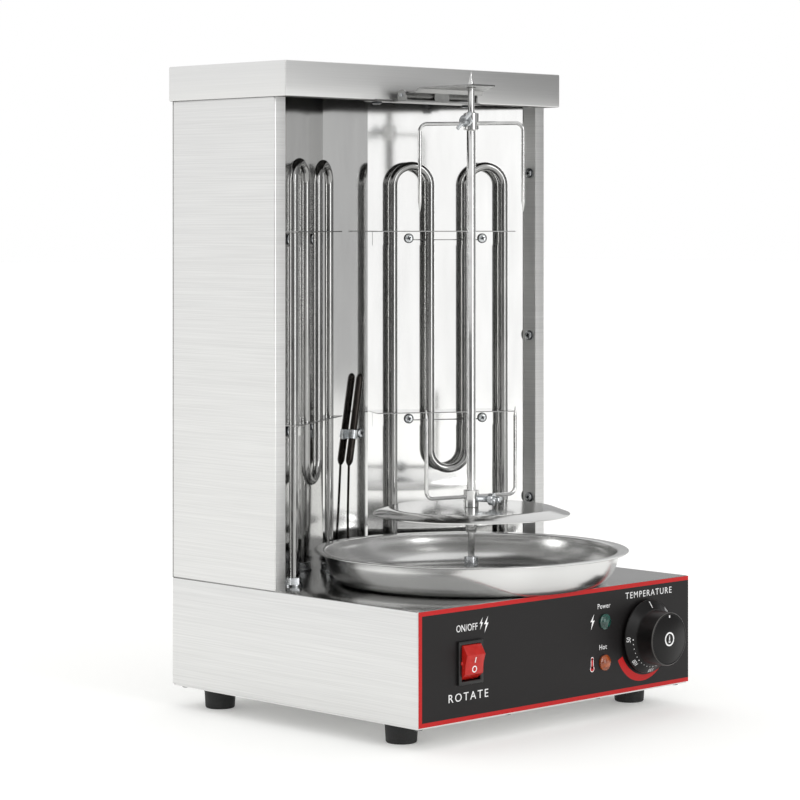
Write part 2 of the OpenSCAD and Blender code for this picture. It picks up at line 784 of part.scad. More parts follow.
module gear_motor() {
    color("#a9acb0") translate([0, y_spit, motor_top]) difference() {
        union() {
            translate([0, 0, -motor_h]) cylinder(d = motor_d, h = motor_h);
            translate([-post_x - 6, -8, -ear_t]) cube([2 * post_x + 12, 16, ear_t]);
            cylinder(d = 14, h = 3);
        }
        translate([0, 0, -8]) cylinder(d = shaft_d + 2 * run_gap, h = 20);
        for (s = [-1, 1]) translate([s * post_x, 0, -ear_t - 1]) cylinder(d = 4, h = ear_t + 2);
    }
}

module motor_posts() {
    color(zinc) for (s = [-1, 1]) translate([s * post_x, y_spit, motor_top]) difference() {
        cylinder(d = post_d, h = post_h);
        translate([0, 0, -1]) cylinder(d = 4, h = 11);
    }
}

module motor_screws() {
    color(zinc) for (s = [-1, 1]) translate([s * post_x, y_spit, motor_top - ear_t])
        rotate([180, 0, 0]) pan_screw(7.5, 2.4, 4, 9);
}

module shaft_bush() {
    color("#b8a070") translate([0, y_spit, z_deck]) difference() {
        union() {
            translate([0, 0, -bush_h]) cylinder(d = bush_d, h = bush_h);
            translate([0, 0, -sheet - 2]) cylinder(d = bush_flange_d, h = 2);
        }
        translate([0, 0, -bush_h - 1]) cylinder(d = shaft_d + 2 * run_gap, h = bush_h + 2);
    }
}

module drive_shaft() {
    color(zinc) translate([0, y_spit, motor_top - 7])
        cylinder(d = shaft_d, h = socket_floor - motor_top + 7);
}

module drive_socket() {
    color(zinc) translate([0, y_spit, 0]) difference() {
        translate([0, 0, z_socket]) cylinder(d = socket_d, h = socket_top - z_socket);
        translate([0, 0, z_socket - 1]) cylinder(d = shaft_d, h = shaft_in_socket + 1);
        translate([0, 0, z_socket]) cylinder(d = spit_end_d + 2 * run_gap, h = socket_h);
        translate([-drive_pin_d / 2 - drive_pin_gap, -socket_d, socket_top - slot_depth])
            cube([drive_pin_d + 2 * drive_pin_gap, 2 * socket_d, slot_depth + 1]);
    }
}

// ---------- spit ----------

module spit_rod() {
    color(bright) translate([0, y_spit, 0]) difference() {
        rotate_extrude() polygon([
            [0, spit_low], [spit_end_d / 2 - 0.6, spit_low], [spit_end_d / 2, spit_low + 0.8],
            [spit_end_d / 2, collar_z], [spit_d / 2, collar_z], [spit_d / 2, spit_shoulder - 0.9],
            [spit_end_d / 2, spit_shoulder], [spit_end_d / 2, spit_cone_z],
            [0, spit_cone_z + spit_cone_h]]);
        translate([0, 0, drive_pin_z]) rotate([90, 0, 0]) cylinder(d = drive_pin_d, h = 20, center = true);
    }
}

module drive_pin() {
    color(zinc) translate([0, y_spit, drive_pin_z])
        rotate([90, 0, 0]) cylinder(d = drive_pin_d, h = socket_d - 0.6, center = true);
}

module spit_collar() {
    low_r = spit_d / 2 + 0.7;
    high_r = hub_d / 2 + 0.3;
    color(bright) translate([0, y_spit, 0]) rotate_extrude() polygon([
        [spit_d / 2, collar_z], [low_r, collar_z], [low_r, collar_z + 4], [high_r, collar_z + 9],
        [high_r, z_disc], [spit_d / 2, z_disc]]);
}

module meat_disc() {
    color(bright) translate([0, y_spit, z_disc]) rotate_extrude() polygon([
        [spit_d / 2 + pass_gap, 0], [disc_flat_r - 0.2, 0], [disc_r, -disc_drop],
        [disc_r, disc_t - disc_drop], [disc_flat_r, disc_t], [spit_d / 2 + pass_gap, disc_t]]);
}

// a fork hub, its screw hole pointing along X before it is turned
module fork_hub(z, angle) {
    color(bright) translate([0, y_spit, z]) difference() {
        cylinder(d = hub_d, h = hub_h);
        translate([0, 0, -1]) cylinder(d = spit_d + 2 * run_gap, h = hub_h + 2);
        rotate([0, 0, angle]) translate([0, 0, hub_h / 2])
            rotate([0, 90, 0]) cylinder(d = clamp_d + 2 * run_gap, h = hub_d);
    }
}

// one prong: out from the hub along X, a bend, and a pointed tine upwards
module prong() {
    straight = prong_reach - prong_bend;
    difference() {
        union() {
            rotate([0, 90, 0]) cylinder(d = prong_d, h = straight);
            translate([straight, 0, prong_bend]) rotate([90, 0, 0])
                rotate([0, 0, -90])
                    rotate_extrude(angle = 90) translate([prong_bend, 0]) circle(d = prong_d);
            translate([prong_reach, 0, prong_bend])
                cylinder(d = prong_d, h = prong_len - prong_bend - prong_tip);
            translate([prong_reach, 0, prong_len - prong_tip])
                cylinder(d1 = prong_d, d2 = 0.4, h = prong_tip);
        }
        translate([0, 0, -hub_h]) cylinder(d = hub_d, h = 2 * hub_h);
    }
}

module fork_prongs(z, angle, dir) {
    color(bright) translate([0, y_spit, z]) for (turn = [0, 180])
        rotate([0, 0, angle + turn]) rotate([dir > 0 ? 0 : 180, 0, 0]) prong();
}

// a clamp screw along X from the rod outwards: shank, round head and cross bar
module clamp_screw(z, angle, turn) {
    tip = spit_d / 2 + 0.15;
    color(zinc) translate([0, y_spit, z + hub_h / 2]) rotate([0, 0, angle]) rotate([turn, 0, 0]) {
        translate([tip, 0, 0]) rotate([0, 90, 0]) cylinder(d = clamp_d, h = clamp_len - tip);
        translate([clamp_head_at, 0, 0])
            rotate([0, 90, 0]) cylinder(d = clamp_head[0], h = clamp_head[1]);
        translate([clamp_bar_at, 0, 0])
            rotate([90, 0, 0]) cylinder(d = clamp_bar[0], h = clamp_bar[1], center = true);
    }
}

module drip_pan() {
    steps = 8;
    wall_top = pan_h - pan_t;
    floor_r = pan_r - pan_rim - pan_flare;
    neck_r = socket_d / 2 + 1.5;
    neck_h = 9;
    function out(t) = [floor_r + pan_flare * sin(t), wall_top * (1 - cos(t))];
    function inn(t) = [floor_r + (pan_flare - pan_t) * sin(t), pan_t + wall_top * (1 - cos(t))];
    outer = [for (i = [0:steps]) out(90 * i / steps)];
    inner = [for (i = [steps:-1:0]) inn(90 * i / steps)];
    color(bright) translate([0, y_spit, z_deck]) rotate_extrude() polygon(concat(
        [[neck_r, 0]], outer, [[pan_r, wall_top], [pan_r, pan_h]], inner,
        [[neck_r + pan_t, pan_t], [neck_r + pan_t, neck_h], [neck_r, neck_h]]));
}

// ---------- spit holder ----------

module holder_base() {
    t = 1.2;
    z = z_cap - t;
    color(bright) difference() {
        union() {
            translate([-holder_half, y_cap - 1, z]) cube([2 * holder_half, cap_front, t]);
            translate([-ear_half, hinge_y - 4.5, z]) cube([2 * ear_half, 15, t]);
            for (s = [-1, 1]) on_side(s) {
                translate([ear_half - ear_w, hinge_y - 4.5, z]) cube([ear_w, 9, hinge_z - z]);
                translate([ear_half - ear_w, hinge_y, hinge_z])
                    rotate([0, 90, 0]) cylinder(r = 4.5, h = ear_w);
            }
        }
        translate([-ear_half - 1, hinge_y, hinge_z])
            rotate([0, 90, 0]) cylinder(d = hinge_pin_d, h = 2 * ear_half + 2);
        for (s = [-1, 1])
            translate([s * holder_screw_x, holder_screw_y, z - 1]) cylinder(d = body_screw_d, h = t + 2);
    }
}

module holder_screws() {
    color(zinc) for (s = [-1, 1])
        translate([s * holder_screw_x, holder_screw_y, z_cap - 1.2])
            rotate([180, 0, 0]) pan_screw(8, 2, body_screw_d, 6);
}

module holder_pin() {
    color(zinc) translate([-ear_half - 1.5, hinge_y, hinge_z])
        rotate([0, 90, 0]) cylinder(d = hinge_pin_d, h = 2 * ear_half + 3);
}

// the arm: a barrel on the pin, a plate that steps up and narrows towards the spit, and a tab
// that rests on the strip and keeps the arm level
module holder_arm() {
    z0 = hinge_z + barrel_d / 2;
    step_y = hinge_y - 12;
    path = [[hinge_y, z0], [step_y, z0], [step_y - 3, z0 + arm_step],
        [arm_tip_y, z0 + arm_step + arm_rise]];
    low = [for (i = [3:-1:0]) path[i] - [0, arm_t]];
    color(bright) difference() {
        union() {
            intersection() {
                translate([-ear_half, 0, 0]) rotate([90, 0, 90])
                    linear_extrude(2 * ear_half) polygon(concat(path, low));
                translate([0, 0, z0 - 5]) linear_extrude(20) polygon([
                    [-arm_back_half, hinge_y + 1], [arm_back_half, hinge_y + 1],
                    [arm_back_half, step_y], [arm_tip_half, arm_tip_y - 1],
                    [-arm_tip_half, arm_tip_y - 1], [-arm_back_half, step_y]]);
            }
            translate([-arm_back_half, hinge_y, hinge_z])
                rotate([0, 90, 0]) cylinder(d = barrel_d, h = 2 * arm_back_half);
            translate([-arm_stop_half, hinge_y - 4.5, z_cap + arm_stop_gap])
                cube([2 * arm_stop_half, arm_t, z0 - arm_t / 2 - z_cap - arm_stop_gap]);
        }
        translate([-ear_half, hinge_y, hinge_z])
            rotate([0, 90, 0]) cylinder(d = hinge_pin_d + 2 * run_gap, h = 2 * ear_half);
        translate([0, y_spit, z0 - 5]) cylinder(d = holder_hole_d, h = 20);
    }
}

// ---------- mains side ----------

// a flange and a tapered neck outside the rear face, a threaded stem and a nut inside
module cord_gland() {
    flange = [22, 4];
    neck_d = [17, 14];
    stem = 12;
    nut = [24, 5];
    color("#1e1e1e") translate([gland_at[0], y_rear, foot_h + gland_at[1]]) rotate([-90, 0, 0])
        difference() {
            union() {
                cylinder(d = flange[0], h = flange[1]);
                cylinder(d1 = neck_d[0], d2 = neck_d[1], h = gland_out);
                translate([0, 0, -stem]) cylinder(d = gland_stem_d, h = stem + 2);
                translate([0, 0, -sheet - nut[1]]) cylinder(d = nut[0], h = nut[1], $fn = 6);
            }
            translate([0, 0, -stem - 1]) cylinder(d = gland_bore_d, h = gland_out + stem + 2);
        }
}

// a block of four terminals, each a wire way along Y and a screw well from the top
module terminal_block() {
    size = [44, 20, 16];
    pitch = 9.3;
    first = 8;
    wire_d = 4;
    well_d = 3.4;
    from_gland = 60;
    color("#ece8dc") translate([gland_at[0] - from_gland, y_rear - from_gland, foot_h]) difference() {
        cube(size);
        for (i = [0:3]) translate([first + i * pitch, 0, size[2] / 2]) {
            translate([0, -1, 0]) rotate([-90, 0, 0]) cylinder(d = wire_d, h = size[1] + 2);
            translate([0, size[1] / 2, 1]) cylinder(d = well_d, h = size[2] / 2);
        }
    }
}

base_shell();
bottom_plate();
bottom_screws();
at_foot(-1, true) foot();  // foot_front_left
at_foot(1, true) foot();  // foot_front_right
at_foot(-1, false) foot();  // foot_rear_left
at_foot(1, false) foot();  // foot_rear_right
foot_screws();
front_label();
left_side_panel();
right_side_panel();
rear_cover();
rear_screws();
reflector();
reflector_screws();
top_cap();
cap_screws();
heating_element(-1);  // heating_element_left
heating_element(1);  // heating_element_right
element_nuts();
bracket(-1, bracket_heights[0]);  // lower_bracket_left
bracket(1, bracket_heights[0]);  // lower_bracket_right
bracket(-1, bracket_heights[1]);  // upper_bracket_left
bracket(1, bracket_heights[1]);  // upper_bracket_right
bracket_screws();
thermostat_bulb();
bulb_clip();
bulb_clip_screw();
thermostat_body();
thermostat_screws();
switch_housing();
lamp_lens(lamp_heights[1]);  // power_lamp_lens
lamp_lens(lamp_heights[0]);  // heat_lamp_lens
lamp_bodies();
gear_motor();
motor_posts();
motor_screws();
shaft_bush();
terminal_block();
cord_gland();
holder_base();
holder_screws();
holder_pin();
drive_shaft();
drive_socket();
spit_rod();
spit_collar();
drive_pin();
meat_disc();
fork_hub(lower_hub_z, lower_screw_angle);  // lower_fork_hub
fork_prongs(lower_wire_z, lower_wire_angle, 1);  // lower_fork_prongs
clamp_screw(lower_hub_z, lower_screw_angle, 0);  // lower_clamp_screw
fork_hub(upper_hub_z, upper_screw_angle);  // upper_fork_hub
fork_prongs(upper_wire_z, upper_wire_angle, -1);  // upper_fork_prongs
clamp_screw(upper_hub_z, upper_screw_angle, bar_turn);  // upper_clamp_screw
holder_arm();
drip_pan();
knob();
thermostat_spindle();
switch_rocker();
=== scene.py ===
import math

import bmesh
import bpy
from mathutils import Matrix, Vector
from mathutils.bvhtree import BVHTree


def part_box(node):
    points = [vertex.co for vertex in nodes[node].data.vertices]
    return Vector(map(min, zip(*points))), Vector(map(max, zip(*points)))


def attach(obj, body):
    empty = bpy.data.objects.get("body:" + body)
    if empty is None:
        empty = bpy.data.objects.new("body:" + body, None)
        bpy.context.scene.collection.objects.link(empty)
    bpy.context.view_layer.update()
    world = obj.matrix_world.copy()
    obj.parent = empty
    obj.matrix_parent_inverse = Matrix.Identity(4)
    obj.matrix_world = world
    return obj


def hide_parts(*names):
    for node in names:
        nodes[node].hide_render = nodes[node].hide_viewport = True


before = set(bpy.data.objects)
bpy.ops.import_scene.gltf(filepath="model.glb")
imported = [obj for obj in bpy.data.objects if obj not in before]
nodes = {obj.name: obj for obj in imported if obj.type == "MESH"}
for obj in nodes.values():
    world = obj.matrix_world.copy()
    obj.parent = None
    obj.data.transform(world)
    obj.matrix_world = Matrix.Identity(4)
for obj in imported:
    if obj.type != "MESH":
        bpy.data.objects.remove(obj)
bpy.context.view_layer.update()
mm = 0.001
mergeMesh = 0.002 * mm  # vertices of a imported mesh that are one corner
mergeMade = 0.0005 * mm  # the same for a mesh made here
print("stage: frame loaded,", len(nodes), "nodes")

# places that several pieces share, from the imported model

baseLow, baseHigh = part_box("base_shell")
capLow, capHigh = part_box("top_cap")
panLow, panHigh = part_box("drip_pan")
panelLow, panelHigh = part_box("right_side_panel")
labelLow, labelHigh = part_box("front_label")
knobLow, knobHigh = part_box("knob")
spitAxis = Vector(((panLow.x + panHigh.x) / 2, (panLow.y + panHigh.y) / 2, 0))
deckZ = baseHigh.z
labelFace = labelLow.y


def middle(node):
    low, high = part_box(node)
    return (low + high) / 2


# camera and studio

studio = {
    "cameraAt": (-1.54285, -1.54608, 0.3802),
    "cameraHeading": -44.166,
    "lens": 124.65,
    "sensor": 36,
    "riseOfFrame": -0.2206,
    "farthestSeen": 200,
    "skyStrength": 1.0,
    "floorSize": 40,
    "floorColour": "#F4F4F2",
    "floorRoughness": 0.9,
    "floorGlow": 0.16,  # lifts the floor to the paper white of the backdrop
    # softboxes: heading from straight in front of the object, clockwise from above, degrees
    "keyHeading": -3,
    "keySize": (0.6, 3.0),
    "keyWatts": 32,
    "keyDistance": 3.2,
    "keyHeight": 0.9,
    "cardDistance": 3.6,
    "cards": {  # heading, width of the card, height, grey value of what it throws back
        "scrimCard": (-16.5, 1.02, 5.0, 1.2),
        "frontRightCard": (26, 3.2, 5.0, 0.54),
        "farRightCard": (71, 2.76, 5.0, 0.30),
        "frontLeftCard": (-44, 2.9, 0.8, 0.24),
        "farLeftCard": (-80, 1.8, 0.8, 0.06),
        "backRightCard": (138, 2.6, 1.3, 0.45),
    },
}


def toLinear(hexColour):
    channels = [int(hexColour[i:i + 2], 16) / 255 for i in (1, 3, 5)]
    linear = [c / 12.92 if c <= 0.04045 else ((c + 0.055) / 1.055) ** 2.4 for c in channels]
    return (*linear, 1.0)


def addNode(material, kind, settings=(), links=()):
    node = material.node_tree.nodes.new(kind)
    for key, value in dict(settings).items():
        if isinstance(key, int) or key in node.inputs:
            node.inputs[key].default_value = value
        else:
            setattr(node, key, value)
    for key, source in dict(links).items():
        material.node_tree.links.new(source, node.inputs[key])
    return node


def headingToPlace(heading, distance, height):
    a = math.radians(heading)
    return Vector((math.sin(a) * distance, -math.cos(a) * distance, height))


def flatSheet(name, material, width, height, place):
    # a flat rectangle that belongs to the studio and not to the object
    bm = bmesh.new()
    bmesh.ops.create_grid(bm, x_segments=1, y_segments=1, size=0.5)
    bmesh.ops.scale(bm, vec=(width, height, 1), verts=bm.verts)
    bmesh.ops.transform(bm, matrix=place, verts=bm.verts)
    mesh = bpy.data.meshes.new(name)
    bm.to_mesh(mesh)
    bm.free()
    mesh.materials.append(material)
    sheet = bpy.data.objects.new(name, mesh)
    bpy.context.scene.collection.objects.link(sheet)
    return sheet


def makeStudio():
    scene = bpy.context.scene
    scene.view_settings.view_transform = "Standard"
    world = bpy.data.worlds.new("studioWhite")
    world.use_nodes = True
    sky = world.node_tree.nodes["Background"]
    sky.inputs["Color"].default_value = (1, 1, 1, 1)
    sky.inputs["Strength"].default_value = studio["skyStrength"]
    scene.world = world

    camera = bpy.data.objects.new("camera", bpy.data.cameras.new("camera"))
    camera.data.lens = studio["lens"]
    camera.data.sensor_width = studio["sensor"]
    camera.data.shift_y = studio["riseOfFrame"]
    camera.data.clip_end = studio["farthestSeen"]
    camera.location = studio["cameraAt"]
    camera.rotation_euler = (math.radians(90), 0, math.radians(studio["cameraHeading"]))
    scene.collection.objects.link(camera)
    scene.camera = camera

    # a pale matt floor, large enough to run out of every view
    floorMaterial = bpy.data.materials.new("mattPaintedFloor")
    floorMaterial.use_nodes = True
    paint = floorMaterial.node_tree.nodes["Principled BSDF"]
    paint.inputs["Base Color"].default_value = toLinear(studio["floorColour"])
    paint.inputs["Roughness"].default_value = studio["floorRoughness"]
    paint.inputs["Emission Color"].default_value = (1, 1, 1, 1)
    paint.inputs["Emission Strength"].default_value = studio["floorGlow"]
    flatSheet("floor", floorMaterial, studio["floorSize"], studio["floorSize"], Matrix())

    key = bpy.data.lights.new("keySoftbox", "AREA")
    key.shape = "RECTANGLE"
    key.size, key.size_y = studio["keySize"]
    key.energy = studio["keyWatts"]
    box = bpy.data.objects.new("keySoftbox", key)
    box.location = headingToPlace(studio["keyHeading"], studio["keyDistance"], studio["keyHeight"])
    aim = Vector((0, 0, box.location.z)) - box.location
    box.rotation_euler = aim.to_track_quat("-Z", "Y").to_euler()
    box.visible_camera = False
    scene.collection.objects.link(box)

    # grey cards that only the metal's reflections see
    for name, (heading, width, height, grey) in studio["cards"].items():
        material = bpy.data.materials.new(name)
        material.use_nodes = True
        material.node_tree.nodes.clear()
        glow = addNode(material, "ShaderNodeEmission", {"Color": (grey, grey, grey, 1), "Strength": 1})
        addNode(material, "ShaderNodeOutputMaterial", links={"Surface": glow.outputs[0]})
        turn = Matrix.Rotation(math.radians(heading), 4, "Z") @ Matrix.Rotation(math.radians(90), 4, "X")
        place = headingToPlace(heading, studio["cardDistance"], height / 2)
        card = flatSheet(name, material, width, height, Matrix.Translation(place) @ turn)
        card.visible_camera = False
        card.visible_diffuse = False
        card.visible_shadow = False


makeStudio()
print("stage: camera and studio")

# materials


def startMaterial(name, hexColour, metallic, roughness):
    material = bpy.data.materials.new(name)
    material.use_nodes = True
    shader = material.node_tree.nodes["Principled BSDF"]
    shader.inputs["Base Color"].default_value = toLinear(hexColour)
    shader.inputs["Metallic"].default_value = metallic
    shader.inputs["Roughness"].default_value = roughness
    return material, shader


def patternOn(material, sizes, detail=2.0, source=None):
    # a noise whose grains measure sizes in metres along X, Y and Z of the object
    if source is None:
        source = addNode(material, "ShaderNodeTexCoord").outputs["Object"]
    mapping = addNode(material, "ShaderNodeMapping", {"Scale": [1 / s for s in sizes]}, {"Vector": source})
    noise = addNode(material, "ShaderNodeTexNoise", {"Scale": 1.0, "Detail": detail},
                    {"Vector": mapping.outputs[0]})
    return noise.outputs[0]


def dressSurface(material, shader, tone, colours, grain, roughness, height=0.0):
    # tone is the pattern of the colour; grain is the pattern of the roughness and of the bump
    spread = addNode(material, "ShaderNodeMapRange", {"From Min": 0.3, "From Max": 0.7}, {"Value": tone})
    mix = addNode(material, "ShaderNodeMix", {"data_type": "RGBA"}, {0: spread.outputs[0]})
    mix.inputs[6].default_value, mix.inputs[7].default_value = [toLinear(c) for c in colours]
    rub = addNode(material, "ShaderNodeMapRange",
                  {"From Min": 0.3, "From Max": 0.7, "To Min": roughness[0], "To Max": roughness[1]},
                  {"Value": grain})
    wires = material.node_tree.links
    wires.new(mix.outputs[2], shader.inputs["Base Color"])
    wires.new(rub.outputs[0], shader.inputs["Roughness"])
    if height:
        bump = addNode(material, "ShaderNodeBump", {"Strength": 0.4, "Distance": height}, {"Height": grain})
        wires.new(bump.outputs[0], shader.inputs["Normal"])


def brushedSheet(name, colours, grain, roughness, height):
    # stainless sheet with a belt-ground No. 4 finish: long hairlines one way, a broad soft
    # highlight across them. Real hairlines are 0.05 mm apart; these are drawn 12 times as
    # coarse, so that they show
    material, shader = startMaterial(name, colours[1], 1.0, roughness[1])
    lines = patternOn(material, grain, 3.0)
    dressSurface(material, shader, lines, colours, lines, roughness, height)
    return material


def aroundSpit(material):
    # distance from the spit axis and height, for marks that a lathe or a polishing wheel leaves
    place = addNode(material, "ShaderNodeTexCoord").outputs["Object"]
    shift = addNode(material, "ShaderNodeVectorMath", {"operation": "SUBTRACT", 1: spitAxis}, {0: place})
    apart = addNode(material, "ShaderNodeSeparateXYZ", links={0: shift.outputs[0]})
    flat = addNode(material, "ShaderNodeCombineXYZ", links={0: apart.outputs[0], 1: apart.outputs[1]})
    reach = addNode(material, "ShaderNodeVectorMath", {"operation": "LENGTH"}, {0: flat.outputs[0]})
    reachAndHeight = addNode(material, "ShaderNodeCombineXYZ",
                             links={0: reach.outputs["Value"], 2: apart.outputs[2]})
    return reachAndHeight.outputs[0]


def spunSteel(name, colours, roughness):
    # thin stainless spun on a former and buffed: fine rings round the axis, 0.6 mm apart here
    material, shader = startMaterial(name, colours[1], 1.0, roughness[1])
    rings = patternOn(material, (0.0006, 1, 0.0006), 2.0, aroundSpit(material))
    smears = patternOn(material, (0.05, 0.05, 0.05), 1.0)
    dressSurface(material, shader, smears, colours, rings, roughness, 0.000003)
    return material


def mirrorSheet():
    # bright annealed stainless, cold rolled: nearly a mirror, with slow waves from the rolling
    # and faint wiping marks
    material, shader = startMaterial("brightAnnealedSteel", "#E4E4E3", 1.0, 0.08)
    wipes = patternOn(material, (0.02, 0.02, 0.09), 3.0)
    waves = patternOn(material, (0.08, 0.08, 2.0), 0.0)
    dressSurface(material, shader, wipes, ("#DEDEDD", "#E8E8E7"), waves, (0.06, 0.1), 0.0001)
    return material


def plainMetal(name, colours, grain, roughness, height=0.0, metallic=1.0):
    # cloudy tone and gloss of the same size in every direction; also used for fired ceramic
    material, shader = startMaterial(name, colours[1], metallic, roughness[1])
    clouds = patternOn(material, (grain, grain, grain), 2.0)
    dressSurface(material, shader, clouds, colours, clouds, roughness, height)
    return material


def mouldedPlastic(name, colours, grain, roughness, height, shine=0.5):
    # injection-moulded plastic: an even spark-eroded grain that breaks the gloss
    material, shader = startMaterial(name, colours[1], 0.0, roughness[1])
    shader.inputs["IOR"].default_value = 1.49
    shader.inputs["Specular IOR Level"].default_value = shine
    texture = patternOn(material, (grain, grain, grain), 4.0)
    dressSurface(material, shader, texture, colours, texture, roughness, height)
    return material


def lampPlastic(name, colours):
    # clear polycarbonate tinted in the mass: dark at its depth, with moulded ribs behind the face
    material, shader = startMaterial(name, colours[1], 0.0, 0.16)
    shader.inputs["IOR"].default_value = 1.58
    shader.inputs["Coat Weight"].default_value = 0.4
    shader.inputs["Subsurface Weight"].default_value = 0.15
    shader.inputs["Subsurface Radius"].default_value = (0.002, 0.002, 0.002)
    ribs = patternOn(material, (0.003, 0.006, 0.003), 0.0)
    dressSurface(material, shader, ribs, colours, ribs, (0.12, 0.2))
    return material


finish = {
    "sheet": brushedSheet("brushedStainlessSheet", ("#D9D9D8", "#E6E6E5"), (0.09, 0.09, 0.0006),
                          (0.32, 0.40), 0.000006),
    "cap": brushedSheet("brushedCapSheet", ("#DCDCDB", "#E2E2E1"), (0.12, 0.12, 0.0006),
                        (0.30, 0.35), 0.000003),
    # the inside of the cap: painted shade, dark grey and dull, for the shadow under the cap
    "capInside": plainMetal("paintedShadeCapInside", ("#4E4D4C", "#605F5D"), 0.02, (0.45, 0.6)),
    "deck": brushedSheet("brushedDeckSheet", ("#A4A4A3", "#B4B4B3"), (0.12, 0.0006, 0.02),
                         (0.14, 0.20), 0.000003),
    "mirror": mirrorSheet(),
    # the sheared rims of the same sheet, a little burred and dull
    "shearedEdge": plainMetal("shearedSteelEdge", ("#6E6E6D", "#868685"), 0.002, (0.3, 0.45)),
    "pan": spunSteel("spunPanSteel", ("#D6D6D5", "#E0E0DF"), (0.20, 0.27)),
    "disc": spunSteel("spunDiscSteel", ("#C8C8C7", "#D4D4D3"), (0.12, 0.18)),
    # stainless rod, centreless ground: bright and even
    "ground": plainMetal("groundStainlessRod", ("#C2C2C1", "#D2D2D1"), 0.01, (0.10, 0.15)),
    # nickel-alloy element sheath, bright drawn, greyed a little by heat
    "sheath": plainMetal("drawnElementSheath", ("#8E8E8D", "#9C9C9B"), 0.04, (0.12, 0.16)),
    # the holder's stamped sheet: dull, tumbled after stamping
    "stamped": plainMetal("tumbledSteelStamping", ("#A2A2A1", "#B0B0AF"), 0.006, (0.3, 0.4)),
    # zinc-plated steel: bluish, a little cloudy from the passivation
    "zinc": plainMetal("passivatedZincPlate", ("#B4B7B9", "#CDD0D2"), 0.003, (0.18, 0.28)),
    "zincHex": plainMetal("zincPlatedNut", ("#A2A4A6", "#C0C2C4"), 0.003, (0.2, 0.32), 0.00001),
    # painted shade in the recess and on the flank of a screw head
    "zincShade": plainMetal("paintedShadeZincRecess", ("#303234", "#4C4E50"), 0.001, (0.4, 0.55)),
    # copper bulb and capillary, blackened by heat and grease
    "bulb": plainMetal("smokedCopperTube", ("#242120", "#3A3633"), 0.006, (0.16, 0.26)),
    "motor": plainMetal("coatedMotorCan", ("#8F9397", "#A9ACB0"), 0.01, (0.35, 0.5), 0.00002),
    "bronze": plainMetal("sinteredBronzeBush", ("#93794B", "#B8A070"), 0.0012, (0.4, 0.55), 0.00003),
    # steatite, pressed and fired: matt, faintly speckled
    "ceramic": plainMetal("firedSteatite", ("#BDB7A6", "#D3CDBD"), 0.0015, (0.55, 0.7), 0.00003, 0.0),
    # screen-printed polycarbonate overlay: satin black with a fine emboss
    "overlay": mouldedPlastic("printedOverlayFilm", ("#121010", "#171415"), 0.0009, (0.40, 0.48),
                              0.000004, 0.3),
    "redInk": mouldedPlastic("screenInkRed", ("#B01214", "#BA1A1A"), 0.0012, (0.42, 0.5), 0.000003, 0.25),
    "whiteInk": mouldedPlastic("screenInkWhite", ("#D8D8D8", "#F2F2F2"), 0.0012, (0.4, 0.5), 0.000003, 0.3),
    "knob": mouldedPlastic("mouldedPhenolicKnob", ("#0B0A0A", "#110F0F"), 0.0009, (0.28, 0.36),
                           0.000006, 0.25),
    # painted highlight: the knob's rim, drawn a lighter grey than the knob
    "knobRim": mouldedPlastic("paintedHighlightKnobRim", ("#383735", "#454340"), 0.002, (0.3, 0.4), 0.000003),
    "bezel": mouldedPlastic("mouldedNylonBezel", ("#121212", "#1A1A1A"), 0.0008, (0.3, 0.4), 0.00001),
    "rocker": mouldedPlastic("mouldedRockerRed", ("#A81912", "#B82019"), 0.004, (0.18, 0.26), 0.000004, 0.4),
    "rubber": mouldedPlastic("mouldedRubberFoot", ("#1A1A1A", "#2A2A2A"), 0.0012, (0.5, 0.68), 0.00004, 0.35),
    "pale": mouldedPlastic("mouldedPalePlastic", ("#D2CDC0", "#E6E1D5"), 0.002, (0.35, 0.5), 0.00002),
    "green": lampPlastic("tintedLensGreen", ("#06302A", "#0E4A40")),
    "amber": lampPlastic("tintedLensAmber", ("#7A340E", "#9E4A16")),
}
print("stage:", len(finish), "materials")

# mesh helpers


def linked(name, mesh):
    piece = bpy.data.objects.new(name, mesh)
    bpy.context.scene.collection.objects.link(piece)
    return piece


def newPiece(name, bm, body, materials, replaced=(), sharpFrom=32):
    mesh = bpy.data.meshes.new(name)
    bm.to_mesh(mesh)
    bm.free()
    if "custom_normal" in mesh.attributes:
        mesh.attributes.remove(mesh.attributes["custom_normal"])
    for material in materials if isinstance(materials, list) else [materials]:
        mesh.materials.append(finish[material])
    mesh.shade_smooth()
    mesh.set_sharp_from_angle(angle=math.radians(sharpFrom))
    piece = linked(name, mesh)
    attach(piece, body)
    if replaced:
        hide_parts(*replaced)
    return piece


def roundEdges(bm, width, segments=2, fromAngle=30, test=None):
    picked = [e for e in bm.edges if e.is_manifold and e.calc_face_angle() > math.radians(fromAngle)
              and (test is None or all(test(v.co) for v in e.verts))]
    bmesh.ops.bevel(bm, geom=picked, offset=width, offset_type="OFFSET", segments=segments, profile=0.5,
                    affect="EDGES", clamp_overlap=True, material=-1)


def softened(node, width, segments=2, bends=()):
    # a merged copy of a CAD node with its folds and its edges rounded
    bm = bmesh.new()
    bm.from_mesh(nodes[node].data)
    bmesh.ops.remove_doubles(bm, verts=bm.verts, dist=mergeMesh)
    bmesh.ops.dissolve_limit(bm, angle_limit=math.radians(0.4), verts=bm.verts, edges=bm.edges)
    for face in bm.faces:
        face.material_index = 0
    for test, radius, steps in bends:
        roundEdges(bm, radius, steps, 20, test)
    if width:
        roundEdges(bm, width, segments)
    return bm


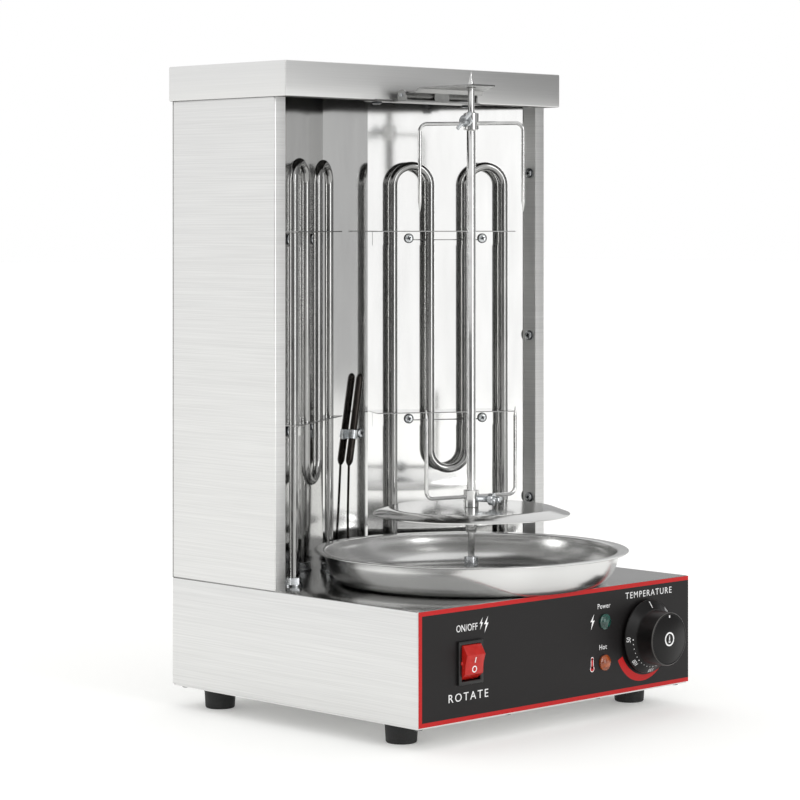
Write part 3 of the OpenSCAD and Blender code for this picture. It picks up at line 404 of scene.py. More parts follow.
def revolved(profile, steps=96, closed=False):
    # profile points are (radius, height) in millimetres round the local Z axis
    bm = bmesh.new()
    verts = [bm.verts.new((r * mm, 0, h * mm)) for r, h in profile]
    edges = [bm.edges.new(pair) for pair in zip(verts, verts[1:])]
    if closed:
        edges.append(bm.edges.new((verts[-1], verts[0])))
    bmesh.ops.spin(bm, geom=verts + edges, cent=(0, 0, 0), axis=(0, 0, 1), angle=2 * math.pi,
                   steps=steps, use_merge=True)
    bmesh.ops.remove_doubles(bm, verts=bm.verts, dist=mergeMade)
    bmesh.ops.recalc_face_normals(bm, faces=bm.faces)
    return bm


def roundPin(half, endRadius, rise, sides):
    # a round pin of 3 mm along local Z with chamfered ends
    return revolved([(0, -half), (endRadius, -half), (1.5, -half + rise), (1.5, half - rise),
                     (endRadius, half), (0, half)], sides)


def moved(bm, matrix):
    bmesh.ops.transform(bm, matrix=matrix, verts=bm.verts)
    return bm


def joined(target, extra):
    mesh = bpy.data.meshes.new("part")
    extra.to_mesh(mesh)
    extra.free()
    target.from_mesh(mesh)
    bpy.data.meshes.remove(mesh)
    return target


def asBmesh(piece):
    # the finished shape of a curve or text; the curve and its mesh are cleared away
    graph = bpy.context.evaluated_depsgraph_get()
    mesh = bpy.data.meshes.new_from_object(piece.evaluated_get(graph))
    data = piece.data
    bpy.data.objects.remove(piece)
    bpy.data.curves.remove(data)
    bm = bmesh.new()
    bm.from_mesh(mesh)
    bpy.data.meshes.remove(mesh)
    bmesh.ops.remove_doubles(bm, verts=bm.verts, dist=mergeMade)
    return bm


def tube(paths, radius, sides=6):
    # round tubes along lists of points; a point may carry its share of the radius
    curve = bpy.data.curves.new("tube", "CURVE")
    curve.dimensions = "3D"
    curve.bevel_depth = radius
    curve.bevel_resolution = sides
    curve.use_fill_caps = True
    for path in paths:
        spline = curve.splines.new("POLY")
        spline.points.add(len(path) - 1)
        for point, (place, share) in zip(spline.points, path):
            point.co = (*place, 1)
            point.radius = share
    bm = asBmesh(linked("tube", curve))
    bmesh.ops.recalc_face_normals(bm, faces=bm.faces)
    return bm


def arc(centre, across, up, radius, fromAngle, toAngle, steps=14):
    # points of an arc in the plane of the unit vectors across and up
    angles = [math.radians(fromAngle + (toAngle - fromAngle) * i / steps) for i in range(steps + 1)]
    return [(centre + radius * (math.cos(a) * across + math.sin(a) * up), 1.0) for a in angles]


upwards = Vector((0, 0, 1))
facingFront = Matrix.Rotation(math.radians(90), 4, "X")  # local Z turned to the front, local Y up

# sheet metal

bent = {"baseRadius": 1.1, "panelRadius": 1.3, "capRadius": 1.2, "edge": 0.16}


def near(a, b):
    return abs(a - b) < 0.00005


def onOuterFold(low, high):
    # a test for the upright corners and the top edges of a tray folded to the box low to high
    def test(p):
        side = near(abs(p.x), high.x)
        end = near(p.y, low.y) or near(p.y, high.y)
        return (side and end) or (near(p.z, high.z) and (side or end))
    return test


def panelCorner(p):
    outer = near(abs(p.x), panelHigh.x) and (near(p.y, panelLow.y) or near(p.y, panelHigh.y))
    inner = near(abs(p.x), panelLow.x) and near(p.y, panelLow.y)
    return outer or inner


def withShearedEdges(node):
    # a stamped piece whose upright narrow rims take the second finish
    bm = softened(node, 0)
    for face in bm.faces:
        heights = [v.co.z for v in face.verts]
        face.material_index = 1 if max(heights) - min(heights) < 1.6 * mm and abs(face.normal.z) < 0.5 else 0
    return bm


def makeSheetMetal():
    base = softened("base_shell", bent["edge"] * mm, 1,
                    [(onOuterFold(baseLow, baseHigh), bent["baseRadius"] * mm, 3)])
    for face in base.faces:
        if face.normal.z > 0.7 and face.calc_center_median().z > deckZ - 0.0005:
            face.material_index = 1
    newPiece("baseShell", base, "stand", ["sheet", "deck"], ["base_shell"])
    for side in ("left", "right"):
        panel = softened(f"{side}_side_panel", bent["edge"] * mm, 1,
                         [(panelCorner, bent["panelRadius"] * mm, 3)])
        newPiece(f"{side}SidePanel", panel, "stand", "sheet", [f"{side}_side_panel"])
    cap = softened("top_cap", bent["edge"] * mm, 1,
                   [(onOuterFold(capLow, capHigh), bent["capRadius"] * mm, 3)])
    skin = 0.45 * mm
    # faces on the inside of the cap take the second material, its painted shade
    for face in cap.faces:
        c = face.calc_center_median()
        outside = (capHigh.x - abs(c.x) < skin or c.y - capLow.y < skin or capHigh.y - c.y < skin
                   or capHigh.z - c.z < skin)
        face.material_index = 0 if outside else 1
    newPiece("topCap", cap, "stand", ["cap", "capInside"], ["top_cap"])
    newPiece("rearCover", softened("rear_cover", bent["edge"] * mm, 1), "stand", "sheet",
             ["rear_cover"])
    newPiece("bottomPlate", softened("bottom_plate", bent["edge"] * mm, 1), "stand", "sheet",
             ["bottom_plate"])
    # the folds stay sharp, because rounding them tilts the large faces, which a mirror shows
    newPiece("reflectorSheet", softened("reflector", 0), "stand", "mirror",
             ["reflector"], 20)
    for name in ("lower_bracket_left", "lower_bracket_right", "upper_bracket_left", "upper_bracket_right"):
        newPiece(name + "Shelf", withShearedEdges(name), "stand", ["mirror", "shearedEdge"],
                 [name])


makeSheetMetal()
print("stage: sheet metal")

# heating elements

elements = {
    "fold": (25, 106.25),  # where a side panel of the reflector leaves the middle one
    "angle": 30.411,  # of the side panels, degrees
    "legs": (18.9, 50.25, 81.6, 112.95),
    "gap": 11,
    "radius": 3.5,
    "archCentre": 411.825,
    "bendCentre": 193.975,
    "low": 71.5,
    "pinLow": 59.5,
    "pinRadius": 1.6,
}


def onPanel(side, along, inFront, height):
    a = math.radians(elements["angle"])
    foldX, foldY = elements["fold"]
    x = foldX + along * math.cos(a) - inFront * math.sin(a)
    y = foldY - along * math.sin(a) - inFront * math.cos(a)
    return Vector((side * x, y, height)) * mm


def panelAlong(side):
    a = math.radians(elements["angle"])
    return Vector((side * math.cos(a), -math.sin(a), 0))


def makeElements():
    legs, gap = elements["legs"], elements["gap"]
    bend = (legs[1] - legs[0]) / 2 * mm
    for name, side in (("left", -1), ("right", 1)):
        along = panelAlong(side)
        path = [(onPanel(side, legs[0], gap, elements["low"]), 1.0)]
        for i in range(3):
            over = i % 2 == 0
            height = elements["archCentre"] if over else elements["bendCentre"]
            centre = onPanel(side, (legs[i] + legs[i + 1]) / 2, gap, height)
            path += arc(centre, along, upwards, bend, 180, 0 if over else 360, 20)
        path.append((onPanel(side, legs[3], gap, elements["low"]), 1.0))
        bm = tube([path], elements["radius"] * mm, 8)
        pins = [[(onPanel(side, legs[i], gap, elements["pinLow"]), 1.0),
                 (onPanel(side, legs[i], gap, elements["low"] + 1), 1.0)] for i in (0, 3)]
        joined(bm, tube(pins, elements["pinRadius"] * mm, 4))
        newPiece(f"{name}Element", bm, "stand", "sheath", [f"heating_element_{name}"], 40)
    newPiece("elementNuts", softened("element_nuts", 0.3 * mm, 2), "stand", "zincHex",
             ["element_nuts"])


makeElements()
print("stage: heating elements")

# screws

# node: head diameter, head height, shank diameter, shank length in mm, axis of the head
screws = {
    "bracket_screws": (8, 2.2, 3.6, 5, "panel"),
    "reflector_screws": (8, 2.4, 4.2, 6, "inwards"),
    "rear_screws": (8, 2.4, 4.2, 7, "back"),
    "cap_screws": (7, 2.2, 3.6, 7, "back"),
    "holder_screws": (8, 2, 4.2, 6, "down"),
    "bottom_screws": (7, 2, 3.4, 6, "down"),
    "foot_screws": (9, 3, 5.2, 9, "down"),
    "bulb_clip_screw": (8, 2.2, 3.6, 5, "front"),
}


def headAxis(kind, place):
    side = 1 if place.x > 0 else -1
    a = math.radians(elements["angle"])
    return {
        "panel": Vector((-side * math.sin(a), -math.cos(a), 0)),
        "inwards": Vector((-side, 0, 0)),
        "back": Vector((0, 1, 0)),
        "front": Vector((0, -1, 0)),
        "down": Vector((0, 0, -1)),
    }[kind]


def panHead(headD, headH, shankD, length):
    # a domed head with a cross recess cut into it, top of the head at z = 0
    r, s = headD / 2, shankD / 2
    crown = [(r, -headH * 0.62), (r * 0.97, -headH * 0.42), (r * 0.88, -headH * 0.24),
             (r * 0.72, -headH * 0.11), (r * 0.4, -headH * 0.03), (0, 0)]
    bm = revolved([(0, -headH - length), (s - 0.5, -headH - length), (s, -headH - length + 0.8),
                   (s, -headH), (r - 0.25, -headH), (r, -headH + 0.2)] + crown, 28)
    head = bpy.data.meshes.new("head")
    bm.to_mesh(head)
    bm.free()
    cutter = bmesh.new()
    for turn in (0, 90):
        blade = bmesh.new()
        bmesh.ops.create_cube(blade, size=1)
        bmesh.ops.scale(blade, vec=(headD * 0.62 * mm, headD * 0.15 * mm, headH * mm), verts=blade.verts)
        for v in blade.verts:
            if v.co.z < 0:
                v.co.x *= 0.45
        moved(blade, Matrix.Rotation(math.radians(turn), 4, "Z"))
        joined(cutter, blade)
    moved(cutter, Matrix.Rotation(math.radians(25), 4, "Z"))
    blades = bpy.data.meshes.new("blades")
    cutter.to_mesh(blades)
    cutter.free()
    body, tool = linked("head", head), linked("blades", blades)
    cut = body.modifiers.new("recess", "BOOLEAN")
    cut.operation, cut.object, cut.solver = "DIFFERENCE", tool, "EXACT"
    cut.use_self = True
    graph = bpy.context.evaluated_depsgraph_get()
    done = bpy.data.meshes.new_from_object(body.evaluated_get(graph))
    bpy.data.objects.remove(body)
    bpy.data.objects.remove(tool)
    # the recess and the flank of the head take the second material, a painted shade
    for face in done.polygons:
        out = math.hypot(face.center.x, face.center.y) / mm
        inRecess = out < headD * 0.32 and -headH * 0.6 < face.center.z / mm < -headH * 0.12
        onFlank = out > r * 0.9 and face.center.z / mm > -headH * 0.9
        face.material_index = 1 if inRecess or onFlank else 0
    return done


def looseParts(node):
    bm = bmesh.new()
    bm.from_mesh(nodes[node].data)
    bmesh.ops.remove_doubles(bm, verts=bm.verts, dist=mergeMesh)
    left, groups = set(bm.verts), []
    while left:
        todo, group = [left.pop()], []
        while todo:
            v = todo.pop()
            group.append(v.co.copy())
            for e in v.link_edges:
                other = e.other_vert(v)
                if other in left:
                    left.remove(other)
                    todo.append(other)
        groups.append(group)
    bm.free()
    return groups


def makeScrews():
    for node, (headD, headH, shankD, length, kind) in screws.items():
        head = panHead(headD, headH, shankD, length)
        bm = bmesh.new()
        for group in looseParts(node):
            centre = sum(group, Vector()) / len(group)
            axis = headAxis(kind, centre)
            top = centre + axis * (max(p.dot(axis) for p in group) - centre.dot(axis))
            one = head.copy()
            turn = axis.to_track_quat("Z", "Y").to_matrix().to_4x4()
            one.transform(Matrix.Translation(top) @ turn)
            bm.from_mesh(one)
            bpy.data.meshes.remove(one)
        newPiece(node.replace("_", "") + "Heads", bm, "stand", ["zinc", "zincShade"],
                 [node], 40)


makeScrews()
print("stage: screws")

# thermostat bulb

bulb = {
    "low": (-1, 101.25, 183.1),
    "high": (12, 101.25, 257.5),
    "radius": 3,
    "wire": ((-3, 100.25, 137.5), (-4, 98.25, 107.5), (-4, 98.25, 81.5), (0, 90.25, 72.5),
             (10, 75.25, 69.5), (62, -8.75, 67.5), (98, -90.75, 63.5), (98, -107.75, 59)),
    "wireRadius": 1,
}


def makeBulb():
    low, high = Vector(bulb["low"]) * mm, Vector(bulb["high"]) * mm
    run = high - low
    ends = [(0, 0.34), (0.02, 0.7), (0.045, 0.93), (0.07, 1.0), (0.93, 1.0), (0.965, 0.92), (0.985, 0.7),
            (1.0, 0.3)]
    bm = tube([[(low + run * t, share) for t, share in ends]], bulb["radius"] * mm, 6)
    points = [low + run * 0.01] + [Vector(p) * mm for p in bulb["wire"]]
    wire = []
    for i in range(len(points) - 1):
        before, after = points[max(i - 1, 0)], points[min(i + 2, len(points) - 1)]
        a, b = points[i], points[i + 1]
        for k in range(6):
            t = k / 6
            wire.append((0.5 * (2 * a + (b - before) * t + (2 * before - 5 * a + 4 * b - after) * t ** 2
                                + (3 * a - before - 3 * b + after) * t ** 3), 1.0))
    wire.append((points[-1], 1.0))
    joined(bm, tube([wire], bulb["wireRadius"] * mm, 3))
    newPiece("thermostatBulb", bm, "stand", "bulb", ["thermostat_bulb"], 40)
    newPiece("bulbClip", softened("bulb_clip", 0.12 * mm, 1), "stand", "zinc", ["bulb_clip"])


makeBulb()
print("stage: thermostat bulb")

# drip pan and meat disc

pan = {"floor": 97, "wall": 114.5, "rim": 122.5, "height": 25.4, "sheet": 0.9, "neck": 7, "neckHeight": 9}
disc = {"flat": 64, "rim": 77, "drop": 4.5, "sheet": 1.0, "bore": 3.8, "foldRadius": 1.6}


def makePan():
    t, top = pan["sheet"], pan["height"] - pan["sheet"]
    lean = pan["wall"] - pan["floor"]
    outside = [(pan["floor"] + lean * math.sin(math.radians(a)), top * (1 - math.cos(math.radians(a))))
               for a in range(0, 84, 6)]
    outside += [(pan["wall"] - 0.1, top - 1.6), (pan["wall"] + 0.35, top - 0.55), (pan["wall"] + 1.3, top)]
    rim = [(pan["rim"] - 0.35, top), (pan["rim"], top + 0.25), (pan["rim"], top + 0.65),
           (pan["rim"] - 0.35, pan["height"])]
    inside = [(pan["wall"] + 0.9, pan["height"]), (pan["wall"] - 0.35, pan["height"] - 0.35),
              (pan["wall"] - 0.9, pan["height"] - 1.2)]
    inside += [(pan["floor"] + (lean - t) * math.sin(math.radians(a)),
                t + top * (1 - math.cos(math.radians(a)))) for a in range(78, -1, -6)]
    neck = [(pan["neck"] + t + 1.6, t), (pan["neck"] + t + 0.4, t + 0.5), (pan["neck"] + t, t + 1.6),
            (pan["neck"] + t, pan["neckHeight"] - 0.3), (pan["neck"] + t - 0.3, pan["neckHeight"]),
            (pan["neck"] + 0.3, pan["neckHeight"]), (pan["neck"], pan["neckHeight"] - 0.3), (pan["neck"], 0)]
    bm = revolved(outside + rim + inside + neck, 144, closed=True)
    moved(bm, Matrix.Translation(Vector((spitAxis.x, spitAxis.y, panLow.z))))
    newPiece("dripPan", bm, "pan", "pan", ["drip_pan"], 45)


def makeDisc():
    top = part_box("meat_disc")[1].z
    t, drop = disc["sheet"], disc["drop"]
    bm = revolved([(disc["bore"], 0), (disc["flat"], 0), (disc["rim"] - 0.3, -drop),
                   (disc["rim"], -drop - 0.3), (disc["rim"] - 0.1, -drop - t + 0.05),
                   (disc["rim"] - 0.5, -drop - t + 0.1), (disc["flat"] - 0.2, -t), (disc["bore"], -t)],
                  144, closed=True)
    roundEdges(bm, disc["foldRadius"] * mm, 4, 10,
               lambda p: abs(math.hypot(p.x, p.y) - disc["flat"] * mm) < 0.0004)
    moved(bm, Matrix.Translation(Vector((spitAxis.x, spitAxis.y, top))))
    newPiece("meatDisc", bm, "disc", "disc", ["meat_disc"], 45)


makePan()
makeDisc()
print("stage: pan and disc")

# spit, forks and their clamp screws

spit = {
    "profile": ((0, 110.3), (1.9, 110.3), (2.6, 111.1), (2.6, 139.9), (3.5, 139.9), (3.5, 466.4),
                (3.3, 466.9), (2.6, 467.3), (2.6, 487.8), (2.45, 488.6), (0.25, 498.0), (0, 498.2)),
    "collar": ((3.5, 139.9), (4.0, 139.9), (4.2, 140.2), (4.2, 143.9), (6.1, 148.3), (6.3, 149.1),
               (6.3, 158.2), (6.0, 158.5), (3.5, 158.5)),
    "hub": ((3.55, 0), (5.5, 0), (6, 0.5), (6, 12.9), (5.5, 13.4), (3.55, 13.4)),
    # bottom of the hub, height of the wire, its heading, way of the tines, screw heading, bar turn
    "forks": {
        "lower": (159.5, 167.7, -12, 1, -70, 0),
        "upper": (452.9, 458.1, -60, -1, -150, 50),
    },
    "reach": 41.5, "bend": 6, "length": 69, "tip": 8, "wireRadius": 1.5, "hubHeight": 13.4,
}


def makeSpit():
    at = Matrix.Translation(spitAxis)
    newPiece("spitRod", moved(revolved(spit["profile"], 40), at), "spit", "ground",
             ["spit_rod"])
    newPiece("spitCollar", moved(revolved(spit["collar"], 48, closed=True), at), "spit", "ground",
             ["spit_collar"])
    pinZ = middle("drive_pin").z
    half = (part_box("drive_pin")[1].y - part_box("drive_pin")[0].y) / 2 / mm
    pin = roundPin(half, 1.2, 0.4, 24)
    moved(pin, Matrix.Translation(Vector((spitAxis.x, spitAxis.y, pinZ))) @ facingFront)
    newPiece("drivePin", pin, "spit", "zinc", ["drive_pin"])
    newPiece("driveSocket", softened("drive_socket", 0.25 * mm, 2), "drive", "zincHex",
             ["drive_socket"])


def forkTines(wireZ, heading, way):
    paths = []
    for turn in (0, 180):
        a = math.radians(heading + turn)
        out = Vector((math.cos(a), math.sin(a), 0))
        start = Vector((spitAxis.x, spitAxis.y, wireZ * mm))
        reach, bend = spit["reach"] * mm, spit["bend"] * mm
        corner = start + out * (reach - bend) + upwards * way * bend
        path = [(start + out * 5.6 * mm, 1.0)]
        path += arc(corner, out, upwards * way, bend, -90, 0, 10)
        straight = start + out * reach
        path.append((straight + upwards * way * (spit["length"] - spit["tip"]) * mm, 1.0))
        path.append((straight + upwards * way * (spit["length"] - 0.6) * mm, 0.2))
        path.append((straight + upwards * way * spit["length"] * mm, 0.06))
        paths.append(path)
    return tube(paths, spit["wireRadius"] * mm, 6)


def clampScrew(hubZ, heading, barTurn):
    # along local Z: a shank with a rolled thread, a round head and a cross bar
    pitch, start = 0.72, 6.4
    thread = []
    for i in range(12):
        thread += [(2.15, start + i * pitch), (2.5, start + i * pitch + pitch / 2)]
    bm = revolved([(0, 3.65), (2.2, 3.65), (2.5, 4.0), (2.5, 6.1)] + thread
                  + [(2.5, 15.3), (4.4, 15.5), (4.75, 15.9), (4.75, 19.1), (4.4, 19.5), (2.5, 19.5),
                     (2.5, 24.1), (2.1, 24.5), (0, 24.5)], 32)
    crossBar = roundPin(8.5, 1.1, 0.4, 20)
    joined(bm, moved(crossBar, Matrix.Translation((0, 0, 22 * mm)) @ facingFront))
    lie = Matrix.Rotation(math.radians(90), 4, "Y")  # local Z to X
    place = Vector((spitAxis.x, spitAxis.y, (hubZ + spit["hubHeight"] / 2) * mm))
    turn = Matrix.Rotation(math.radians(heading), 4, "Z") @ Matrix.Rotation(math.radians(barTurn), 4, "X")
    return moved(bm, Matrix.Translation(place) @ turn @ lie)


def makeForks():
    for name, (hubZ, wireZ, heading, way, screwHeading, barTurn) in spit["forks"].items():
        hub = revolved(spit["hub"], 48, closed=True)
        moved(hub, Matrix.Translation(spitAxis + upwards * hubZ * mm))
        newPiece(f"{name}ForkHub", hub, f"{name}_fork", "ground", [f"{name}_fork_hub"])
        newPiece(f"{name}ForkTines", forkTines(wireZ, heading, way), f"{name}_fork", "ground",
                 [f"{name}_fork_prongs"], 40)
        newPiece(f"{name}ClampScrew", clampScrew(hubZ, screwHeading, barTurn), f"{name}_clamp", "zinc",
                 [f"{name}_clamp_screw"], 40)


makeSpit()
makeForks()
print("stage: spit and forks")

# spit holder


def makeHolder():
    for name, node, body in (("holderStrip", "holder_base", "stand"),
                             ("holderArm", "holder_arm", "holder")):
        newPiece(name, withShearedEdges(node), body, ["stamped", "shearedEdge"], [node])
    low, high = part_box("holder_pin")
    half = (high.x - low.x) / 2 / mm
    pin = roundPin(half, 1.2, 0.35, 24)
    moved(pin, Matrix.Translation((low + high) / 2) @ Matrix.Rotation(math.radians(90), 4, "Y"))
    newPiece("holderPin", pin, "stand", "zinc", ["holder_pin"])


makeHolder()
print("stage: spit holder")

# feet and cord gland

foot = {"profile": ((2.6, 16.5), (12.6, 16.5), (13.0, 16.1), (12.75, 13.2), (12.3, 12.8), (11.6, 1.0),
                    (11.0, 0.2), (10.6, 0), (6.0, 0), (5.5, 0.5), (5.5, 11.5), (2.6, 11.5))}
gland = {"profile": ((4.1, 14), (6.4, 14), (6.95, 13.5), (7.25, 11.0), (6.7, 10.8), (6.75, 9.8), (7.45, 9.6),
                     (7.6, 8.4), (7.0, 8.2), (7.05, 7.2), (7.8, 7.0), (7.95, 5.8), (7.5, 5.6), (7.55, 4.8),
                     (8.2, 4.6), (8.2, 4), (10.6, 4), (11.0, 3.6), (11.0, 0), (8.0, 0), (8.0, -12),
                     (4.1, -12))}


def makeFeetAndGland():
    for place in ("front_left", "front_right", "rear_left", "rear_right"):
        at = middle(f"foot_{place}")
        bm = moved(revolved(foot["profile"], 64, closed=True), Matrix.Translation(Vector((at.x, at.y, 0))))
        newPiece("foot_" + place + "Rubber", bm, "stand", "rubber", [f"foot_{place}"])
    at = middle("cord_gland")
    bm = revolved(gland["profile"], 64, closed=True)
    nut = bmesh.new()
    bmesh.ops.create_cone(nut, cap_ends=True, segments=6, radius1=12 * mm, radius2=12 * mm, depth=5 * mm)
    roundEdges(nut, 0.4 * mm, 2)
    joined(bm, moved(nut, Matrix.Translation((0, 0, -3.5 * mm))))
    turn = Matrix.Rotation(math.radians(-90), 4, "X")
    moved(bm, Matrix.Translation(Vector((at.x, baseHigh.y, at.z))) @ turn)
    newPiece("cordGland", bm, "stand", "bezel", ["cord_gland"])


makeFeetAndGland()
print("stage: feet and gland")

# front label and its print

label = {
    "border": 3.2,
    "inkThickness": 0.03,
    "words": (  # text, middle x, middle z, size, letter spacing, width share
        ("ON/OFF", -100.5, 85.2, 7.4, 1.02, 0.82),
        ("ROTATE", -99, 35.2, 8.6, 1.3, 1.08),
        ("TEMPERATURE", 102, 91.9, 7.0, 1.2, 1.04),
        ("Power", 49.4, 86.8, 5.6, 1.08, 0.94),
        ("Hot", 48.4, 55.4, 5.6, 1.08, 0.94),
    ),
    "bolts": (  # middle x, middle z, height
        (-85.4, 86.9, 9.0), (-80.2, 85.9, 12.0), (36.4, 75.6, 12.0),
    ),
    "thermometer": (36.1, 43.4, 10.5),
    "outline": 0.5,
    "crescent": {"from": 206, "sweep": 96, "inner": 30.0, "outer": 36.0, "taperFrom": 0.35, "tip": 0.22},
}


def ink(bm, thickness):
    # gives flat print its thickness, towards the viewer
    flat = bmesh.ops.extrude_face_region(bm, geom=list(bm.faces))
    bmesh.ops.translate(bm, vec=(0, 0, thickness),
                        verts=[v for v in flat["geom"] if isinstance(v, bmesh.types.BMVert)])
    bmesh.ops.recalc_face_normals(bm, faces=bm.faces)
    return bm


def word(text, size, spacing, widthShare, thickness):
    curve = bpy.data.curves.new("word", "FONT")
    curve.body = text
    curve.size = size * mm
    curve.space_character = spacing
    curve.align_x, curve.align_y = "CENTER", "CENTER"
    curve.extrude = thickness / 2
    curve.resolution_u = 3
    return moved(asBmesh(linked("word", curve)),
                 Matrix.Translation((0, 0, thickness / 2)) @ Matrix.Diagonal((widthShare, 1, 1, 1)))


def boltShape(height, thickness):
    # a lightning flash: two slanted blades that overlap in the middle
    bm = bmesh.new()
    corners = ((0.16, 0.5), (-0.2, 0.02), (-0.02, 0.02), (-0.16, -0.5), (0.2, 0.1), (0.02, 0.1))
    bm.faces.new([bm.verts.new((x * height * mm, y * height * mm, 0)) for x, y in corners])
    return ink(bm, thickness)


def ringShape(inner, outer, thickness, steps=48, sweep=360, start=0):
    bm = bmesh.new()
    pair = [bm.verts.new((r * mm, 0, 0)) for r in (inner, outer)]
    edge = bm.edges.new(pair)
    bmesh.ops.rotate(bm, verts=pair, cent=(0, 0, 0), matrix=Matrix.Rotation(math.radians(start), 3, "Z"))
    bmesh.ops.spin(bm, geom=pair + [edge], cent=(0, 0, 0), axis=(0, 0, 1), angle=math.radians(sweep),
                   steps=steps, use_merge=sweep == 360)
    bmesh.ops.remove_doubles(bm, verts=bm.verts, dist=mergeMade)
    return bm if thickness is None else ink(bm, thickness)


def spot(radius, thickness, sides=20):
    bm = bmesh.new()
    bmesh.ops.create_circle(bm, cap_ends=True, segments=sides, radius=radius * mm)
    return ink(bm, thickness)


def bar(width, height, thickness):
    bm = bmesh.new()
    bmesh.ops.create_grid(bm, x_segments=1, y_segments=1, size=0.5)
    bmesh.ops.scale(bm, vec=(width * mm, height * mm, 1), verts=bm.verts)
    return ink(bm, thickness)


def thermometerShape(height, thickness, grown=0.0):
    # a bulb below, a stem and its round top; grown adds an even margin all round
    stem, bulbR, top = height * 0.1, height * 0.18, height * 0.72 * mm
    bm = joined(spot(bulbR + grown, thickness), moved(spot(stem + grown, thickness, 16),
                                                      Matrix.Translation((0, top, 0))))
    joined(bm, moved(bar((stem + grown) * 2, top / mm, thickness), Matrix.Translation((0, top / 2, 0))))
    return moved(bm, Matrix.Translation((0, -height * 0.32 * mm, 0)))


def onLabel(x, z):
    return Matrix.Translation(Vector((x * mm, labelFace, z * mm))) @ facingFront


def makeLabel():
    t = label["inkThickness"] * mm
    plate = softened("front_label", 0)
    edge = label["border"] * mm
    cuts = (((labelLow.x + edge, 0, 0), (1, 0, 0)), ((0, 0, labelLow.z + edge), (0, 0, 1)),
            ((0, 0, labelHigh.z - edge), (0, 0, 1)))
    for place, normal in cuts:
        bmesh.ops.bisect_plane(plate, geom=plate.verts[:] + plate.edges[:] + plate.faces[:], dist=0.0000001,
                               plane_co=place, plane_no=normal)
    for face in plate.faces:
        c = face.calc_center_median()
        edgeBand = (c.x < labelLow.x + edge or c.z < labelLow.z + edge or c.z > labelHigh.z - edge)
        face.material_index = 1 if edgeBand else 0
    newPiece("frontLabel", plate, "stand", ["overlay", "redInk"], ["front_label"])

    white = bmesh.new()
    for text, x, z, size, spacing, share in label["words"]:
        joined(white, moved(word(text, size, spacing, share, t), onLabel(x, z)))
    for x, z, height in label["bolts"]:
        joined(white, moved(boltShape(height, t), onLabel(x, z)))
    knobMid = (knobLow + knobHigh) / 2
    x, z, height = label["thermometer"]
    joined(white, moved(thermometerShape(height, t / 2, label["outline"]), onLabel(x, z)))
    newPiece("labelWords", white, "stand", "whiteInk")

    red = bmesh.new()
    joined(red, moved(thermometerShape(height, t), onLabel(x, z)))
    shape = label["crescent"]
    bow = ringShape(shape["inner"], shape["outer"], None, 32, shape["sweep"], shape["from"])
    for v in bow.verts:
        r = v.co.length / mm
        if r > (shape["inner"] + shape["outer"]) / 2:
            turn = (math.degrees(math.atan2(v.co.y, v.co.x)) - shape["from"] + 1) % 360 / shape["sweep"]
            gone = max(0, turn - shape["taperFrom"]) / (1 - shape["taperFrom"])
            full = 1 - (1 - shape["tip"]) * min(gone, 1) ** 1.3
            v.co *= (shape["inner"] + (shape["outer"] - shape["inner"]) * full) / r
    joined(red, moved(ink(bow, t), onLabel(knobMid.x / mm, knobMid.z / mm)))
    newPiece("labelRedMarks", red, "stand", "redInk")


makeLabel()
print("stage: label")

# controls

knob = {
    "profile": ((0, 3.2), (28.0, 3.2), (28.4, 3.45), (28.5, 3.9), (28.3, 4.35), (27.9, 4.7), (21.8, 9.1),
                (21.3, 9.55), (21.0, 10.2), (20.65, 23.3), (20.45, 24.2), (19.9, 24.8), (19.4, 24.95),
                (19.1, 24.75), (18.8, 24.75), (18.5, 24.95), (0, 25.0)),
    "rim": (19.9, 23.9),  # the pale rim, a painted highlight, starts at this radius and this height
    "numbers": ("50", "100", "150", "200", "250", "300"),
    "numberSize": 4.6,
    "firstNumber": 180,
    "step": 45,
    "dots": 4,
    "numberReach": 26.0,
    "dotReach": 23.2,
    "slopeFrom": (27.9, 4.7),
    "slope": 35.8,
    "offMark": (92, 25, 0.8, 5.6),  # angle, reach, width, height
    "face": 25.0,
    "pointer": (17.5, 1.3, 1.9),  # reach, width, height
    "symbolRing": (4.2, 5.4),
    "symbolHeight": 5.8,
}
lamp = {"profile": ((0, 3.75), (2.6, 3.7), (3.7, 3.35), (4.35, 2.7), (5.0, 1.9), (5.3, 1.75), (5.7, 1.6),
                    (6.0, 1.25), (6.0, 0), (4.8, 0), (4.8, -5), (0, -5))}


def onSkirt(angle, reach):
    # a print place on the sloping skirt, its top outwards
    lowRadius, lowOut = knob["slopeFrom"]
    out = lowOut + (lowRadius - reach) * math.tan(math.radians(knob["slope"]))
    return (Matrix.Rotation(math.radians(angle - 90), 4, "Z") @ Matrix.Translation((0, reach * mm, out * mm))
            @ Matrix.Rotation(math.radians(-knob["slope"]), 4, "X"))


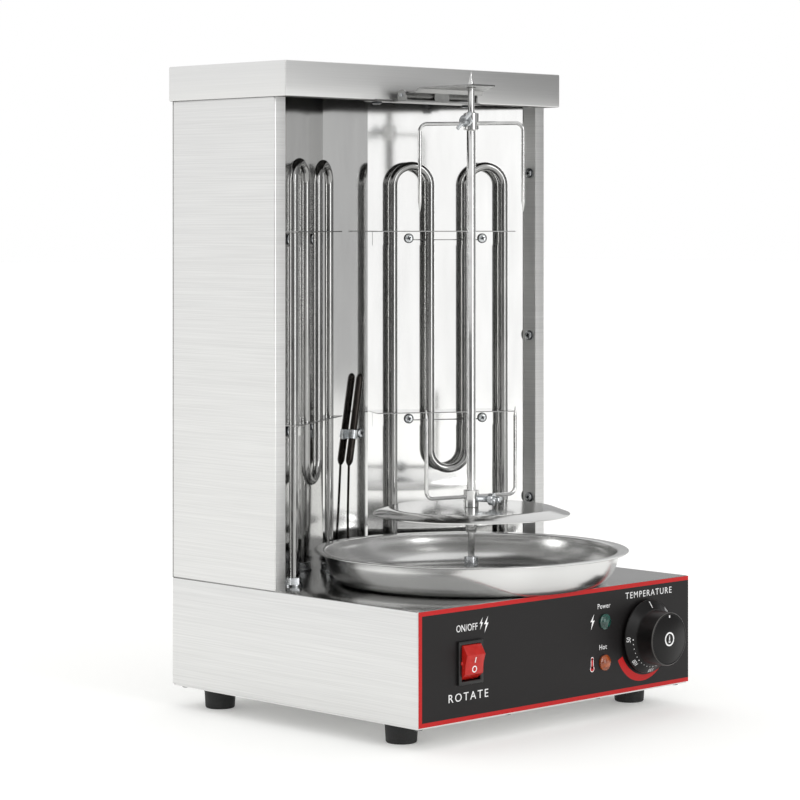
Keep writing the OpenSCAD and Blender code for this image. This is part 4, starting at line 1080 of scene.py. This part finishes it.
def makeKnob():
    t = label["inkThickness"] * mm
    mid = (knobLow + knobHigh) / 2
    at = Matrix.Translation(Vector((mid.x, baseLow.y, mid.z))) @ facingFront
    body = revolved(knob["profile"], 128)
    rimRadius, rimHeight = knob["rim"]
    # the faces of the rim take the second material, a painted highlight
    for face in body.faces:
        c = face.calc_center_median() / mm
        face.material_index = 1 if math.hypot(c.x, c.y) > rimRadius and c.z > rimHeight else 0
    newPiece("temperatureKnob", moved(body, at), "dial", ["knob", "knobRim"], ["knob"], 38)
    white = bmesh.new()
    for i, text in enumerate(knob["numbers"]):
        angle = knob["firstNumber"] + i * knob["step"]
        joined(white, moved(word(text, knob["numberSize"], 1.0, 0.9, t), onSkirt(angle, knob["numberReach"])))
        joined(white, moved(spot(0.5, t, 12), onSkirt(angle, knob["dotReach"])))
        if i < len(knob["numbers"]) - 1:
            for k in range(1, knob["dots"] + 1):
                turn = angle + k * knob["step"] / (knob["dots"] + 1)
                joined(white, moved(spot(0.36, t, 12), onSkirt(turn, knob["dotReach"])))
    angle, reach, width, height = knob["offMark"]
    joined(white, moved(bar(width, height, t), onSkirt(angle, reach)))
    face = Matrix.Translation((0, 0, knob["face"] * mm))
    reach, width, height = knob["pointer"]
    joined(white, moved(bar(width, height, t), face @ Matrix.Translation((0, reach * mm, 0))))
    joined(white, moved(ringShape(*knob["symbolRing"], t), face))
    joined(white, moved(thermometerShape(knob["symbolHeight"], t), face))
    newPiece("knobPrint", moved(white, at), "dial", "whiteInk")


def makeLamps():
    for node, tinted in (("power_lamp_lens", "green"), ("heat_lamp_lens", "amber")):
        at = middle(node)
        bm = revolved(lamp["profile"], 56)
        moved(bm, Matrix.Translation(Vector((at.x, labelFace, at.z))) @ facingFront)
        newPiece(node.replace("_", "") + "Dome", bm, "stand", tinted, [node])


# each mark of the rocker with its place, as a share of half its height
rockerMarks = {"bar": (0.9, 4.2), "barUp": 0.17, "ring": (1.7, 2.5), "ringUp": -0.36}


def makeSwitch():
    newPiece("switchBezel", softened("switch_housing", 0.35 * mm, 2), "stand", "bezel",
             ["switch_housing"])
    bm = softened("switch_rocker", 0.5 * mm, 3)
    tree = BVHTree.FromBMesh(bm)
    newPiece("switchRocker", bm, "rocker", "rocker", ["switch_rocker"])
    low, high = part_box("switch_rocker")
    mid = (low + high) / 2
    t = label["inkThickness"] * mm
    marks = bmesh.new()
    for shape, up in ((bar(*rockerMarks["bar"], t), rockerMarks["barUp"]),
                      (ringShape(*rockerMarks["ring"], t, 32), rockerMarks["ringUp"])):
        z = mid.z + up * (high.z - low.z) / 2
        hit, normal = tree.ray_cast(Vector((mid.x, -1, z)), Vector((0, 1, 0)))[:2]
        tilt = math.atan2(-normal.z, -normal.y)
        turn = Matrix.Rotation(math.radians(90) + tilt, 4, "X")
        joined(marks, moved(shape, Matrix.Translation(hit) @ turn))
    newPiece("rockerMarks", marks, "rocker", "whiteInk")


makeKnob()
makeLamps()
makeSwitch()
print("stage: controls")

# pieces that stay as the CAD made them get their own finish

kept = {
    "thermostat_body": "ceramic", "thermostat_screws": "zinc", "thermostat_spindle": "zinc",
    "lamp_bodies": "pale", "gear_motor": "motor", "motor_posts": "zinc", "motor_screws": "zinc",
    "shaft_bush": "bronze", "terminal_block": "pale", "drive_shaft": "ground",
}
for node, material in kept.items():
    for place in nodes[node].material_slots:
        place.material = finish[material]
print("stage: finishes of the carried-over nodes")
